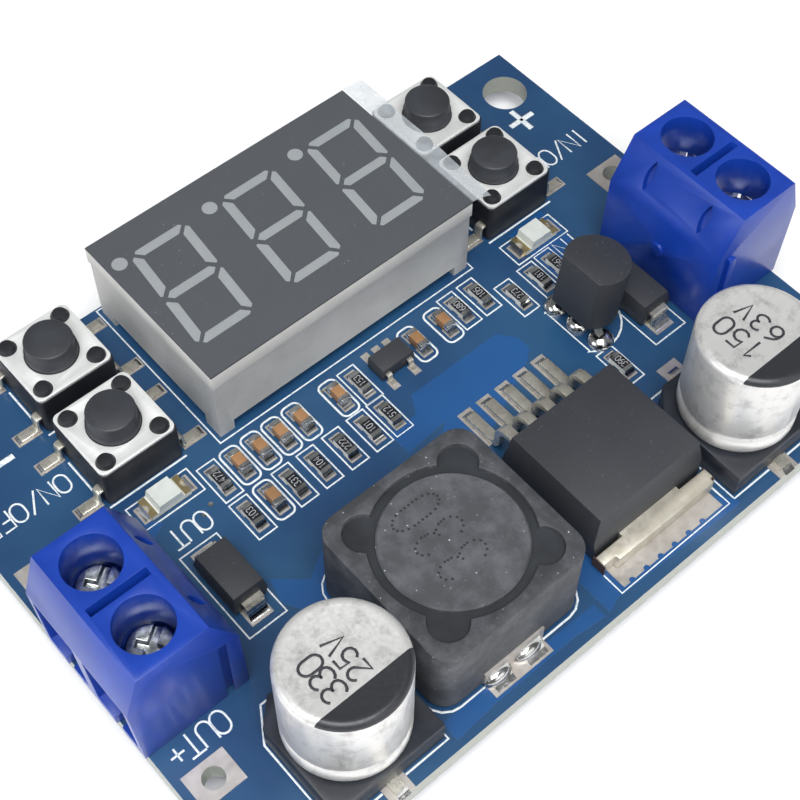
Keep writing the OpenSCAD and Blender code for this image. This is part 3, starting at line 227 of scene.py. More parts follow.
def bump(material, height, strength, depth_mm, before=None):
    inputs = {"Height": height, "Strength": strength, "Distance": depth_mm * MM}
    if before is not None:
        inputs["Normal"] = before
    result = put(material, "ShaderNodeBump", inputs).outputs[0]
    join(material, result, "Normal")
    return result


# Solder mask on glass-epoxy laminate: a blue lacquer poured over copper, glossy with a slight
# orange peel; the sawn edge and the drilled holes show the pale glass cloth.
def solder_mask(name, deep, light):
    material = finish(name, deep, 0.34, IOR=1.52, Coat_Weight=0.25, Coat_Roughness=0.18)
    cloud = noise(material, 7.0, 2.0)
    tone = mixed(material, ramp(material, cloud, 0.35, 0.65), deep, light)
    normal = put(material, "ShaderNodeTexCoord").outputs["Normal"]
    upright = put(material, "ShaderNodeSeparateXYZ", {"Vector": normal}).outputs["Z"]
    flat = put(material, "ShaderNodeMath", {0: upright}, operation="ABSOLUTE").outputs[0]
    is_edge = ramp(material, flat, 0.6, 0.4)
    cloth = noise(material, 0.12, 4.0, 0.7, (1, 1, 4))
    edge = mixed(material, ramp(material, cloth, 0.35, 0.7), "#9a9e96", "#b5b8af")
    join(material, mixed(material, is_edge, tone, edge), "Base Color")
    join(material, ramp(material, is_edge, 0, 1, 0.34, 0.75), "Roughness")
    peel = bump(material, noise(material, 0.7, 2.0), 0.06, 0.05)
    bump(material, noise(material, 0.08, 2.0), 0.05, 0.01, peel)
    return material


BOARD_MASK = solder_mask("blue_solder_mask_on_laminate", "#1a4068", "#244e74")
POUR_MASK = solder_mask("blue_solder_mask_over_copper", "#184a80", "#1c528b")


# Tin plating and solder: pale warm grey, slightly mottled. The duller a plating is, the less it
# mirrors the room, so it has a lower metallic value.
def tinned(name, pale, dull, rough, metallic=1.0):
    material = finish(name, pale, rough, metallic)
    cloud = noise(material, 1.2, 4.0, 0.6)
    join(material, mixed(material, ramp(material, cloud, 0.35, 0.7), dull, pale), "Base Color")
    join(material, ramp(material, noise(material, 0.35, 3.0), 0.3, 0.7, rough - 0.09,
                        rough + 0.1), "Roughness")
    bump(material, noise(material, 0.5, 3.0), 0.16, 0.03)
    return material


TIN = tinned("hot_air_levelled_tin", "#cfcac5", "#bab4ae", 0.46, 0.7)
LEAD_TIN = tinned("tin_plated_lead_brass", "#e0ddd2", "#c2beb0", 0.3, 0.8)
SOLDER = tinned("bright_tin_solder", "#dcdcda", "#a9a9a8", 0.16)
TAB_TIN = tinned("tin_plated_copper_tab", "#d6d1c4", "#c0baaa", 0.42, 0.6)


# Cut copper at the sheared ends of the regulator's tab: brown and rough where the die broke it.
CUT_COPPER = finish("sheared_copper", "#8a6a58", 0.55, 1.0)


# Screen-printed epoxy ink: flat white, a little thin where the mesh of the screen held it back.
INK = finish("screen_printed_white_ink", "#e4ebee", 0.62)
join(INK, mixed(INK, ramp(INK, noise(INK, 0.25, 4.0, 0.7), 0.3, 0.5), "#a9bdca", "#e6ecef"),
     "Base Color")


# Moulded polycarbonate of the display shell: pale grey, matt from a spark-eroded mould, with
# handling smudges.
DISPLAY_SHELL = finish("moulded_grey_polycarbonate", "#cfcec9", 0.5, IOR=1.5)
join(DISPLAY_SHELL, mixed(DISPLAY_SHELL, ramp(DISPLAY_SHELL, noise(DISPLAY_SHELL, 4.0, 5.0, 0.65),
     0.35, 0.7), "#c6c5c0", "#d8d7d3"), "Base Color")
bump(DISPLAY_SHELL, noise(DISPLAY_SHELL, 0.15, 3.0), 0.12, 0.02)

# Sprayed mask paint on the display face: dark neutral grey, dead matt, with dust.
DISPLAY_INK = finish("sprayed_grey_mask_paint", "#373a3f", 0.6)
dust = ramp(DISPLAY_INK, noise(DISPLAY_INK, 0.22, 2.0, 0.6), 0.71, 0.76)
join(DISPLAY_INK, mixed(DISPLAY_INK, dust, mixed(DISPLAY_INK, noise(DISPLAY_INK, 5.0, 3.0),
     "#35383d", "#3c3f44"), "#6b7076"), "Base Color")

# Cast epoxy with a white diffuser in the light shafts: pale grey when unlit.
SEGMENT_RESIN = finish("cast_diffusing_epoxy", "#a9adaf", 0.5, Subsurface_Weight=0.15,
                       Subsurface_Scale=0.4 * MM)
join(SEGMENT_RESIN, mixed(SEGMENT_RESIN, noise(SEGMENT_RESIN, 1.5, 3.0), "#8b8f91", "#979b9d"),
     "Base Color")

# Polyester protective film: clear with a faint cloudy cast, fine drag scratches and trapped air;
# where it hangs past the display its opacity is raised, a painted whitish sheen for the light it
# catches there.
FILM = finish("polyester_protective_film", "#ccd3d8", 0.2, IOR=1.5, Alpha=0.2)
drag = noise(FILM, 0.5, 6.0, 0.75, (0.35, 4.0, 1.0), 0.4)
speck = ramp(FILM, noise(FILM, 0.12, 2.0), 0.74, 0.8)
haze = put(FILM, "ShaderNodeMath", {0: ramp(FILM, drag, 0.62, 0.74, 0.03, 0.10), 1: speck},
           operation="MAXIMUM").outputs[0]
across = put(FILM, "ShaderNodeSeparateXYZ", {"Vector": place_of(FILM)}).outputs["X"]
overhang_mask = ramp(FILM, across, (DISPLAY_END - 0.05) * MM, (DISPLAY_END + 0.15) * MM)
# Past the display's end the alpha is raised to 0.26-0.42: painted whitish sheen, not the film's own
# tone.
overhang_painted_sheen = ramp(FILM, noise(FILM, 1.3, 3.0), 0.35, 0.65, 0.26, 0.42)
join(FILM, put(FILM, "ShaderNodeMix", {"Factor": overhang_mask, "A": haze, "B": overhang_painted_sheen}).outputs[0],
     "Alpha")
bump(FILM, noise(FILM, 3.0, 3.0), 0.2, 0.06)


def moulded(name, colour, worn, rough, grain_mm, depth):
    """Moulded plastic or compound: one colour with faint clouding and a fine mould grain."""
    material = finish(name, colour, rough, IOR=1.5)
    join(material, mixed(material, ramp(material, noise(material, 2.4, 4.0), 0.35, 0.75), colour,
                         worn), "Base Color")
    bump(material, noise(material, grain_mm, 3.0), 0.25, depth)
    return material


# Glass-filled nylon of the button bases: near black, matt.
BUTTON_PLASTIC = moulded("glass_filled_black_nylon", "#17181c", "#22242a", 0.5, 0.09, 0.02)
# Acetal of the button plungers: black that reads as dark grey, slightly waxy.
PLUNGER_PLASTIC = moulded("turned_look_black_acetal", "#2e3034", "#3c3f44", 0.45, 0.07, 0.015)
# Polyphthalamide bases of the capacitors: charcoal with a dull gloss.
BASE_PLASTIC = moulded("moulded_charcoal_nylon", "#1d2027", "#2a2e38", 0.42, 0.12, 0.02)
# Flame-retardant nylon of the screw terminals: strong royal blue with a satin sheen, and a
# little light let into its thin edges.
TERMINAL_BLUE = moulded("polished_royal_blue_nylon", "#103797", "#163fa5", 0.33, 0.6, 0.012)
shader_of(TERMINAL_BLUE).inputs["Subsurface Weight"].default_value = 0.06
shader_of(TERMINAL_BLUE).inputs["Subsurface Scale"].default_value = 0.5 * MM
shader_of(TERMINAL_BLUE).inputs["Coat Weight"].default_value = 0.08
shader_of(TERMINAL_BLUE).inputs["Coat Roughness"].default_value = 0.2

# Transfer-moulded epoxy compound of the semiconductors: charcoal with pale silica specks.
COMPOUND = finish("transfer_moulded_epoxy_compound", "#303236", 0.55)
silica = ramp(COMPOUND, noise(COMPOUND, 0.16, 2.0, 0.5), 0.70, 0.76)
join(COMPOUND, mixed(COMPOUND, silica, mixed(COMPOUND, noise(COMPOUND, 3.0, 4.0), "#2d2f34",
     "#36383d"), "#6c6f74"), "Base Color")
bump(COMPOUND, noise(COMPOUND, 0.07, 3.0), 0.3, 0.02)

# Pressed steel of the button covers: dull tin plating that looks nearly white, with a soft
# rolled grain.
COVER_STEEL = finish("tin_plated_pressed_steel", "#f3f4f2", 0.42, 0.45)
join(COVER_STEEL, ramp(COVER_STEEL, noise(COVER_STEEL, 0.3, 3.0, 0.5, (0.15, 1, 1)), 0.3, 0.7,
                       0.36, 0.5), "Roughness")
bump(COVER_STEEL, noise(COVER_STEEL, 0.25, 3.0), 0.1, 0.02)

# Zinc-plated steel of the screws and cages: bright bluish grey with darker tool marks.
ZINC_STEEL = finish("zinc_plated_steel", "#cfd4d6", 0.24, 1.0)
join(ZINC_STEEL, mixed(ZINC_STEEL, ramp(ZINC_STEEL, noise(ZINC_STEEL, 0.5, 4.0), 0.35, 0.7),
     "#8e9496", "#dfe3e4"), "Base Color")
bump(ZINC_STEEL, noise(ZINC_STEEL, 0.3, 3.0), 0.3, 0.05)

# Spring steel of the snap domes: bright and smooth from the rolls.
DOME_STEEL = finish("rolled_spring_steel", "#c8c4b8", 0.22, 1.0)

# Pressed and sintered ferrite: dark grey, matt and gritty, paler where it is rubbed, with pale
# flecks painted on as glints of the odd crystal facet.
def ferrite(name, dark, pale):
    material = finish(name, dark, 0.6)
    rubbed = ramp(material, noise(material, 1.6, 6.0, 0.7), 0.42, 0.7)
    # Pale flecks: painted glints that stand in for light off crystal facets.
    painted_crystal_glint = ramp(material, noise(material, 0.2, 1.0), 0.755, 0.79)
    join(material, mixed(material, painted_crystal_glint, mixed(material, rubbed, dark, pale), "#c9cdd0"),
         "Base Color")
    grit = bump(material, noise(material, 0.12, 4.0, 0.7), 0.4, 0.03)
    bump(material, noise(material, 1.2, 4.0), 0.15, 0.05, grit)
    return material


SHIELD_FERRITE = ferrite("sintered_shield_ferrite", "#37393d", "#54565b")
CORE_FERRITE = ferrite("ground_core_ferrite", "#424448", "#5c5e63")

# Black potting resin round the core.
RESIN = moulded("black_potting_resin", "#26282c", "#34373b", 0.36, 0.5, 0.05)

# Deep-drawn aluminium can with a clear lacquer: white satin, faint drawing lines up the wall.
CAN = finish("drawn_lacquered_aluminium", "#dddcda", 0.36, 0.5)
smudge = ramp(CAN, noise(CAN, 1.1, 6.0, 0.7), 0.5, 0.72)
where = put(CAN, "ShaderNodeSeparateXYZ", {"Vector": place_of(CAN)}).outputs
CHORD = board_low[1] + 3.46  # straight edge of the black segment that marks the minus side
MARK_DEPTH = 0.4  # how far the segment runs down over the can's shoulder
behind_chord = put(CAN, "ShaderNodeMath", {0: where["Y"], 1: CHORD * MM},
                   operation="LESS_THAN").outputs[0]
on_top = put(CAN, "ShaderNodeMath", {0: where["Z"], 1: (CAN_TOP - MARK_DEPTH) * MM},
             operation="GREATER_THAN").outputs[0]
inked = put(CAN, "ShaderNodeMath", {0: behind_chord, 1: on_top}, operation="MULTIPLY").outputs[0]
CAN_MARK = "#2b2d31"
join(CAN, mixed(CAN, inked, mixed(CAN, smudge, "#dddcda", "#b3b2b0"), CAN_MARK), "Base Color")
join(CAN, ramp(CAN, inked, 0, 1, 0.5, 0.0), "Metallic")
drawing = noise(CAN, 0.25, 3.0, 0.5, (1, 1, 0.12))
join(CAN, ramp(CAN, drawing, 0.3, 0.7, 0.28, 0.42), "Roughness")
bump(CAN, drawing, 0.06, 0.02)

CAN_INK = finish("black_marking_ink", "#2c2e32", 0.45)
join(CAN_INK, mixed(CAN_INK, noise(CAN_INK, 0.6, 5.0, 0.7), "#26282c", "#3a3c41"), "Base Color")

# Marking: grey-white on the resistors, burnt dots on the ferrite, green epoxy on the lamps.
CODE_INK = finish("white_resistor_marking", "#b4b7ba", 0.5)
join(CODE_INK, mixed(CODE_INK, noise(CODE_INK, 0.2, 2.0), "#9da0a4", "#c4c6c9"), "Base Color")
BURNT_MARK = finish("laser_burnt_ferrite", "#26272a", 0.8)
join(BURNT_MARK, mixed(BURNT_MARK, noise(BURNT_MARK, 0.5, 2.0), "#1d1e20", "#333437"),
     "Base Color")
MARK_GREEN = finish("green_marking_epoxy", "#1e8f6c", 0.4)
join(MARK_GREEN, mixed(MARK_GREEN, noise(MARK_GREEN, 0.3, 2.0), "#1a8262", "#35a584"),
     "Base Color")

# Fired alumina of the chip resistors, and the black glaze over their film.
ALUMINA = moulded("fired_alumina", "#d9d8d2", "#e6e5e0", 0.5, 0.05, 0.01)
GLAZE = finish("black_resistor_glaze", "#1b1c1f", 0.22, Coat_Weight=0.4)
bump(GLAZE, noise(GLAZE, 0.5, 2.0), 0.2, 0.02)
# Fired layers of the chip capacitors: tan brown ceramic.
BROWN_CERAMIC = moulded("fired_barium_ceramic", "#8f6a47", "#a67c55", 0.48, 0.06, 0.01)
# Lamp base laminate and its clear lens.
LAMP_LAMINATE = moulded("white_lamp_laminate", "#dfe2da", "#cfd3c8", 0.5, 0.08, 0.01)
LAMP_LENS = finish("cast_clear_epoxy", "#e6eae4", 0.14, IOR=1.5, Transmission_Weight=0.2)
join(LAMP_LENS, mixed(LAMP_LENS, noise(LAMP_LENS, 0.6, 3.0), "#d5dcd6", "#f0f3ee"), "Base Color")
GOLD = finish("gold_plated_lamp_end", "#d8c493", 0.3, 1.0)
bump(GOLD, noise(GOLD, 0.3, 2.0), 0.1, 0.02)
# Enamelled winding wire: bright copper ridges.
WINDING = finish("enamelled_copper_wire", "#b5652f", 0.3, 1.0)
bump(WINDING, put(WINDING, "ShaderNodeTexWave", {"Vector": place_of(WINDING),
     "Scale": 1 / (4.4 * MM)}, bands_direction="Z").outputs["Fac"], 0.6, 0.1)
INNER_LAMINATE = moulded("display_epoxy_laminate", "#b7ad86", "#c6bd97", 0.5, 0.2, 0.02)

FINISH_OF = {
    "board": BOARD_MASK, "solder_pads": TIN, "solder_joints": SOLDER,
    "display_housing": DISPLAY_SHELL, "display_face": DISPLAY_INK,
    "display_segments": SEGMENT_RESIN, "display_circuit": INNER_LAMINATE,
    "display_pins": LEAD_TIN, "display_film": FILM, "controller_body": COMPOUND,
    "button_bases": BUTTON_PLASTIC, "button_covers": COVER_STEEL,
    "inductor_shield": SHIELD_FERRITE, "inductor_core": CORE_FERRITE, "inductor_winding": WINDING,
    "inductor_resin": RESIN, "inductor_terminals": TIN, "capacitor_cans": CAN,
    "capacitor_bases": BASE_PLASTIC, "regulator_tab": TAB_TIN, "resistor_cores": ALUMINA,
    "resistor_coatings": GLAZE, "resistor_ends": SOLDER, "chip_capacitor_bodies": BROWN_CERAMIC,
    "chip_capacitor_ends": SOLDER, "lamp_bases": LAMP_LAMINATE, "lamp_lenses": LAMP_LENS,
    "lamp_ends": GOLD}
ENDINGS = {"_plunger": PLUNGER_PLASTIC, "_dome": DOME_STEEL, "_terminal_housing": TERMINAL_BLUE,
           "_contacts": LEAD_TIN, "_screw": ZINC_STEEL, "_cage": ZINC_STEEL,
           "_case": COMPOUND, "_cases": COMPOUND, "_leads": LEAD_TIN}


def finish_for(node):
    if node in FINISH_OF:
        return FINISH_OF[node]
    return next(found for ending, found in ENDINGS.items() if node.endswith(ending))


for node_name, node_object in frame["nodes"].items():
    node_object.data.materials.clear()
    node_object.data.materials.append(finish_for(node_name))


# ---------- pieces made on the solids ----------

def piece(name, mesh, body, material, node=None):
    """Adds a mesh as a piece that rides on a body, in place of a solid if one is named."""
    made = bpy.data.objects.new(name, mesh)
    scene.collection.objects.link(made)
    if material is not None:
        mesh.materials.clear()
        mesh.materials.append(material)
    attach(made, body)
    if node:
        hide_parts(node)
    return made


def smooth_by_angle(mesh, degrees):
    for polygon in mesh.polygons:
        polygon.use_smooth = True
    mesh.set_sharp_from_angle(angle=math.radians(degrees))


def eased(node, edge_mm, segments=2, angle=28):
    """The solid's own shape with its sharp edges broken, as moulding and pressing leave them."""
    mesh = frame["nodes"][node].data.copy()
    work = bmesh.new()
    work.from_mesh(mesh)
    bmesh.ops.remove_doubles(work, verts=work.verts, dist=WELD)
    bmesh.ops.dissolve_limit(work, angle_limit=math.radians(0.6), verts=work.verts,
                             edges=work.edges)
    sharp = [e for e in work.edges if e.is_manifold and e.calc_face_angle(0) > math.radians(angle)]
    if edge_mm:
        bmesh.ops.bevel(work, geom=sharp, offset=edge_mm * MM, offset_type="OFFSET",
                        affect="EDGES", segments=segments, profile=0.5, material=-1,
                        clamp_overlap=True)
    work.to_mesh(mesh)
    work.free()
    smooth_by_angle(mesh, 32)
    return piece(node + "_finished", mesh, BODY_OF[node], finish_for(node), node)


for node_name, edge in {"display_housing": 0.12, "button_bases": 0.08, "button_covers": 0.05,
                        "output_terminal_housing": 0.12, "input_terminal_housing": 0.12,
                        "inductor_shield": 0.14, "capacitor_bases": 0.12, "capacitor_cans": 0.0,
                        "inductor_core": 0.0, "regulator_case": 0.07, "regulator_tab": 0.06,
                        "regulator_leads": 0.06, "button_leads": 0.04, "diode_cases": 0.06,
                        "amplifier_case": 0.05, "transistor_case": 0.07,
                        "controller_body": 0.05, "chip_capacitor_ends": 0.05,
                        "chip_capacitor_bodies": 0.02}.items():
    eased(node_name, edge)
for button in ("minus", "plus", "output", "reading"):
    eased(button + "_plunger", 0.0)
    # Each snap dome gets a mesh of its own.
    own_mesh(eased(button + "_dome", 0.0))
for node_name in frame["nodes"]:
    if node_name.endswith("_screw"):
        eased(node_name, 0.04)


# ---------- printing ----------

def arc(cx, cy, rx, ry, start, end, steps=8):
    return [(cx + rx * math.cos(math.radians(start + (end - start) * i / steps)),
             cy + ry * math.sin(math.radians(start + (end - start) * i / steps)))
            for i in range(steps + 1)]


# Plain single-line letters on a cell one unit high, as a plotter draws them.
STROKES = {
    "0": [arc(0.3, 0.68, 0.3, 0.32, 0, 180) + arc(0.3, 0.32, 0.3, 0.32, 180, 360) + [(0.6, 0.68)]],
    "1": [[(0.12, 0.8), (0.34, 1.0), (0.34, 0.0)]],
    "2": [arc(0.3, 0.7, 0.28, 0.3, 160, -35) + [(0.0, 0.0), (0.6, 0.0)]],
    "3": [arc(0.28, 0.74, 0.28, 0.26, 150, -85), arc(0.28, 0.26, 0.32, 0.26, 80, -155)],
    "4": [[(0.44, 0.0), (0.44, 1.0), (0.0, 0.3), (0.6, 0.3)]],
    "5": [[(0.54, 1.0), (0.08, 1.0), (0.04, 0.54)] + arc(0.28, 0.32, 0.31, 0.32, 120, -150)],
    "6": [[(0.5, 1.0)] + arc(0.34, 0.4, 0.34, 0.45, 110, 180, 4)
          + arc(0.3, 0.3, 0.3, 0.3, 180, 520, 12)],
    "7": [[(0.0, 1.0), (0.6, 1.0), (0.2, 0.0)]],
    "8": [arc(0.3, 0.75, 0.25, 0.25, -90, 270, 12), arc(0.3, 0.26, 0.3, 0.26, 90, 450, 12)],
    "9": [[(0.1, 0.0)] + arc(0.26, 0.6, 0.34, 0.45, -70, 0, 4)
          + arc(0.3, 0.7, 0.3, 0.3, 0, 360, 12)],
    "V": [[(0.0, 1.0), (0.3, 0.0), (0.6, 1.0)]],
    "O": [arc(0.32, 0.64, 0.32, 0.36, 0, 180) + arc(0.32, 0.36, 0.32, 0.36, 180, 360)
          + [(0.64, 0.64)]],
    "U": [[(0.0, 1.0)] + arc(0.3, 0.3, 0.3, 0.3, 180, 360) + [(0.6, 1.0)]],
    "T": [[(0.0, 1.0), (0.64, 1.0)], [(0.32, 1.0), (0.32, 0.0)]],
    "N": [[(0.0, 0.0), (0.0, 1.0), (0.6, 0.0), (0.6, 1.0)]],
    "F": [[(0.0, 0.0), (0.0, 1.0), (0.56, 1.0)], [(0.0, 0.52), (0.42, 0.52)]],
    "I": [[(0.3, 0.0), (0.3, 1.0)]],
    "/": [[(0.0, -0.05), (0.6, 1.05)]],
    "+": [[(0.0, 0.5), (0.6, 0.5)], [(0.3, 0.2), (0.3, 0.8)]],
    "-": [[(0.0, 0.5), (0.6, 0.5)]],
}


def lettering(text, x, y, height, step, turn=0.0, narrow=1.0):
    """Strokes of a word centred x, y from the board's corner and turned about that place."""
    start = -step * (len(text) - 1) / 2
    x, y = on_board(x, y)
    c, s = math.cos(math.radians(turn)), math.sin(math.radians(turn))
    lines = []
    for i, letter in enumerate(text):
        for stroke in STROKES[letter]:
            line = []
            for u, v in stroke:
                a = start + step * i + (u - 0.3) * height * narrow
                b = (v - 0.5) * height
                line.append((x + a * c - b * s, y + a * s + b * c))
            lines.append(line)
    return lines


def printed(name, lines, width, z, material, body="module", raise_mm=0.02):
    """Printed lines: round strokes pressed flat on the surface at height z."""
    data = bpy.data.curves.new(name, "CURVE")
    data.dimensions = "3D"
    data.bevel_depth = width / 2 * MM
    data.bevel_resolution = 1
    data.use_fill_caps = True
    for line in lines:
        closed = len(line) > 2 and math.dist(line[0], line[-1]) < 1e-6
        points = line[:-1] if closed else line
        spline = data.splines.new("POLY")
        spline.points.add(len(points) - 1)
        for point, (x, y) in zip(spline.points, points):
            point.co = (x * MM, y * MM, 0, 1)
        spline.use_cyclic_u = closed
    temporary = bpy.data.objects.new(name, data)
    scene.collection.objects.link(temporary)
    bpy.context.view_layer.update()
    mesh = bpy.data.meshes.new_from_object(
        temporary.evaluated_get(bpy.context.evaluated_depsgraph_get()))
    bpy.data.objects.remove(temporary)
    mesh.transform(Matrix.Translation((0, 0, z * MM)) @ Matrix.Diagonal(
        (1, 1, raise_mm / (width / 2), 1)))
    for polygon in mesh.polygons:
        polygon.use_smooth = True
    mesh.name = name
    return piece(name, mesh, body, material)


def frame_line(x, y, length, width, corner=0.0, steps=4):
    """Closed rectangle with rounded corners, centred on x, y."""
    a, b = length / 2 - corner, width / 2 - corner
    points = []
    for cx, cy, start in ((a, b, 0), (-a, b, 90), (-a, -b, 180), (a, -b, 270)):
        if corner:
            points += arc(x + cx, y + cy, corner, corner, start, start + 90, steps)
        else:
            points.append((x + cx, y + cy))
    return points + [points[0]]


def islands(node):
    """Centre in plan of each separate solid in a node, in millimetres."""
    work = bmesh.new()
    work.from_mesh(frame["nodes"][node].data)
    bmesh.ops.remove_doubles(work, verts=work.verts, dist=WELD)
    work.verts.ensure_lookup_table()
    seen, found = set(), []
    for vert in work.verts:
        if vert in seen:
            continue
        group, front = [], [vert]
        seen.add(vert)
        while front:
            here = front.pop()
            group.append(here.co)
            for edge in here.link_edges:
                other = edge.other_vert(here)
                if other not in seen:
                    seen.add(other)
                    front.append(other)
        low = [min(p[i] for p in group) / MM for i in range(2)]
        high = [max(p[i] for p in group) / MM for i in range(2)]
        found.append(((low[0] + high[0]) / 2, (low[1] + high[1]) / 2))
    work.free()
    return found


resistors = islands("resistor_cores")
chip_capacitors = islands("chip_capacitor_bodies")
cans = sorted(islands("capacitor_cans"))
diodes = sorted(islands("diode_cases"))
lamps = sorted(islands("lamp_bases"))
buttons = islands("button_bases")
inductor_x, inductor_y, _ = middle("inductor_shield")
tab_low, tab_high = span("regulator_tab")
regulator_x = (tab_low[0] + tab_high[0]) / 2
transistor_x, transistor_y, _ = middle("transistor_leads")
display_x, display_y, _ = middle("display_face")

# Printed outlines of the parts and the widths of the printed lines, in millimetres.
SILK_LINE, WORD_LINE, SIGN_LINE, CODE_LINE = 0.17, 0.16, 0.5, 0.055
outlines = [frame_line(x, y, 1.45, 3.25) for x, y in resistors]
outlines += [frame_line(x, y, 1.45, 3.2, 0.45) for x, y in chip_capacitors]
outlines += [frame_line(x, y, 4.9, 2.1) for x, y in lamps]
outlines += [frame_line(x, y - 0.1, 2.95, 7.3) for x, y in diodes]
outlines.append(frame_line(inductor_x, inductor_y, 12.5, 12.4, 1.7))
outlines.append(frame_line(display_x, display_y, 22.9, 14.5))
for x, y in cans:
    outlines.append([(x - 0.9, y - 4.35), (x - 4.3, y - 4.35), (x - 4.3, y + 2.5),
                     (x - 2.9, y + 4.68), (x - 1.0, y + 4.68)])
    outlines.append([(x + 0.9, y - 4.35), (x + 4.3, y - 4.35), (x + 4.3, y + 2.5),
                     (x + 2.9, y + 4.68), (x + 1.0, y + 4.68)])
for x, y in buttons:
    outlines += [[(x - 3.1, y + s * 3.15), (x + 3.1, y + s * 3.15)] for s in (-1, 1)]
    outlines += [[(x + s * 3.2, y - 1.5), (x + s * 3.2, y + 1.5)] for s in (-1, 1)]
outlines.append([(regulator_x + a, board_low[1] + b)
                 for a, b in ((-4.95, 2.6), (-4.95, 0.95), (5.05, 0.95), (5.05, 2.6))])
outlines.append([(transistor_x - 1.1, transistor_y - 2.2), (transistor_x - 1.1, transistor_y + 2.2)]
                + arc(transistor_x + 0.4, transistor_y, 2.75, 2.75, 127, -127, 18)
                + [(transistor_x - 1.1, transistor_y - 2.2)])
printed("silk_outlines", outlines, SILK_LINE, TOP, INK)

# Words on the board: text, centre from the board's corner, letter height and step.
WORDS = (("OUT", 11.08, 22.45, 1.5, 1.03), ("OUT+", 2.98, 10.7, 1.6, 1.07),
         ("ON/OFF", 3.93, 30.72, 1.5, 1.13), ("IN/OUT", 51.6, 30.6, 1.6, 1.12),
         ("IN", 46.3, 23.5, 1.5, 1.15))
words = [line for word in WORDS for line in lettering(*word, 180)]
printed("silk_words", words, WORD_LINE, TOP, INK)
signs = lettering("+", 52.17, 34.75, 3.9, 1.0, 180) + lettering("-", 4.3, 34.65, 3.9, 1.0, 180)
printed("silk_signs", signs, SIGN_LINE, TOP, INK)

# Ratings on the capacitor tops, read along the board's width.
RATINGS = (("330", 8.42, 5.2, 1.5, 1.0), ("25V", 10.2, 5.3, 1.35, 1.05),
           ("150", 42.5, 5.9, 1.5, 1.2), ("63V", 44.4, 5.8, 1.35, 1.2))
ratings = [line for rating in RATINGS for line in lettering(*rating, 90)]
printed("capacitor_ratings", ratings, SILK_LINE, CAN_TOP, CAN_INK)

# Codes on the chip resistors, read along their length.
CODES = ["103", "472", "331", "104", "222", "101", "512", "153", "680", "105", "273", "390",
         "181", "561"]
coating_top = span("resistor_coatings")[1][2]
codes = []
for code, (x, y) in zip(CODES, sorted(resistors)):
    codes += lettering(code, x - board_low[0], y - board_low[1], 0.5, 0.31, 90, 0.75)
printed("resistor_codes", codes, CODE_LINE, coating_top, CODE_INK, raise_mm=0.008)


def dotted(lines, gap):
    """Points along the strokes, one gap apart."""
    dots = []
    for line in lines:
        for (ax, ay), (bx, by) in zip(line, line[1:]):
            steps = max(1, round(math.dist((ax, ay), (bx, by)) / gap))
            dots += [(ax + (bx - ax) * i / steps, ay + (by - ay) * i / steps)
                     for i in range(steps + 1)]
    kept = []
    for dot in dots:
        if all(math.dist(dot, other) > gap * 0.6 for other in kept):
            kept.append(dot)
    return kept


def from_work(name, work, material, body="module", node=None):
    mesh = bpy.data.meshes.new(name)
    work.to_mesh(mesh)
    work.free()
    smooth_by_angle(mesh, 40)
    return piece(name, mesh, body, material, node)


# Number burnt into the inductor core dot by dot, each dot a shallow cone.
DOT_GAP, DOT_FOOT, DOT_TIP, DOT_DEPTH = 0.3, 0.11, 0.08, 0.03
core_top = span("inductor_core")[1][2]
work = bmesh.new()
for x, y in dotted(lettering("330", 20.3, 8.9, 3.5, 2.1, 90, 0.62), DOT_GAP):
    bmesh.ops.create_cone(work, cap_ends=True, segments=8, radius1=DOT_FOOT * MM,
                          radius2=DOT_TIP * MM, depth=DOT_DEPTH * MM,
                          matrix=Matrix.Translation((x * MM, y * MM, core_top * MM)))
from_work("inductor_number", work, BURNT_MARK)


def blobs(name, places, material):
    """Flattened balls, such as solder that has wetted a joint: centre and half sizes in mm."""
    work = bmesh.new()
    for x, y, z, across, along, high in places:
        x, y = on_board(x, y)
        bmesh.ops.create_uvsphere(work, u_segments=20, v_segments=12, radius=1.0,
                                  matrix=Matrix.Translation((x * MM, y * MM, (TOP + z) * MM))
                                  @ Matrix.Diagonal((across * MM, along * MM, high * MM, 1)))
    return from_work(name, work, material)


blobs("transistor_solder", [(41.62, 19.93, 0.1, 0.98, 0.95, 0.72),
                            (41.75, 17.85, 0.1, 0.95, 0.92, 0.66),
                            (41.88, 15.78, 0.1, 1.0, 0.94, 0.70)], SOLDER)
blobs("inductor_solder", [(19.2, 1.98, 0.05, 1.12, 0.62, 0.85), (21.75, 1.98, 0.05, 1.15, 0.6, 0.8),
                          (19.6, 14.3, 0.05, 1.1, 0.6, 0.8), (22.0, 14.3, 0.05, 1.1, 0.6, 0.8)],
      SOLDER)


def plates(name, outlines_mm, z, thick, material):
    """Flat pieces of any outline, thick millimetres high on the level z."""
    work = bmesh.new()
    for outline in outlines_mm:
        verts = [bmesh.ops.create_vert(work, co=(x * MM, y * MM, z * MM))["vert"][0]
                 for x, y in (on_board(*point) for point in outline)]
        face = bmesh.ops.contextual_create(work, geom=verts)["faces"]
        raised = bmesh.ops.extrude_face_region(work, geom=face)["geom"]
        bmesh.ops.translate(work, vec=(0, 0, thick * MM),
                            verts=[g for g in raised if isinstance(g, bmesh.types.BMVert)])
    bmesh.ops.recalc_face_normals(work, faces=work.faces)
    return from_work(name, work, material)


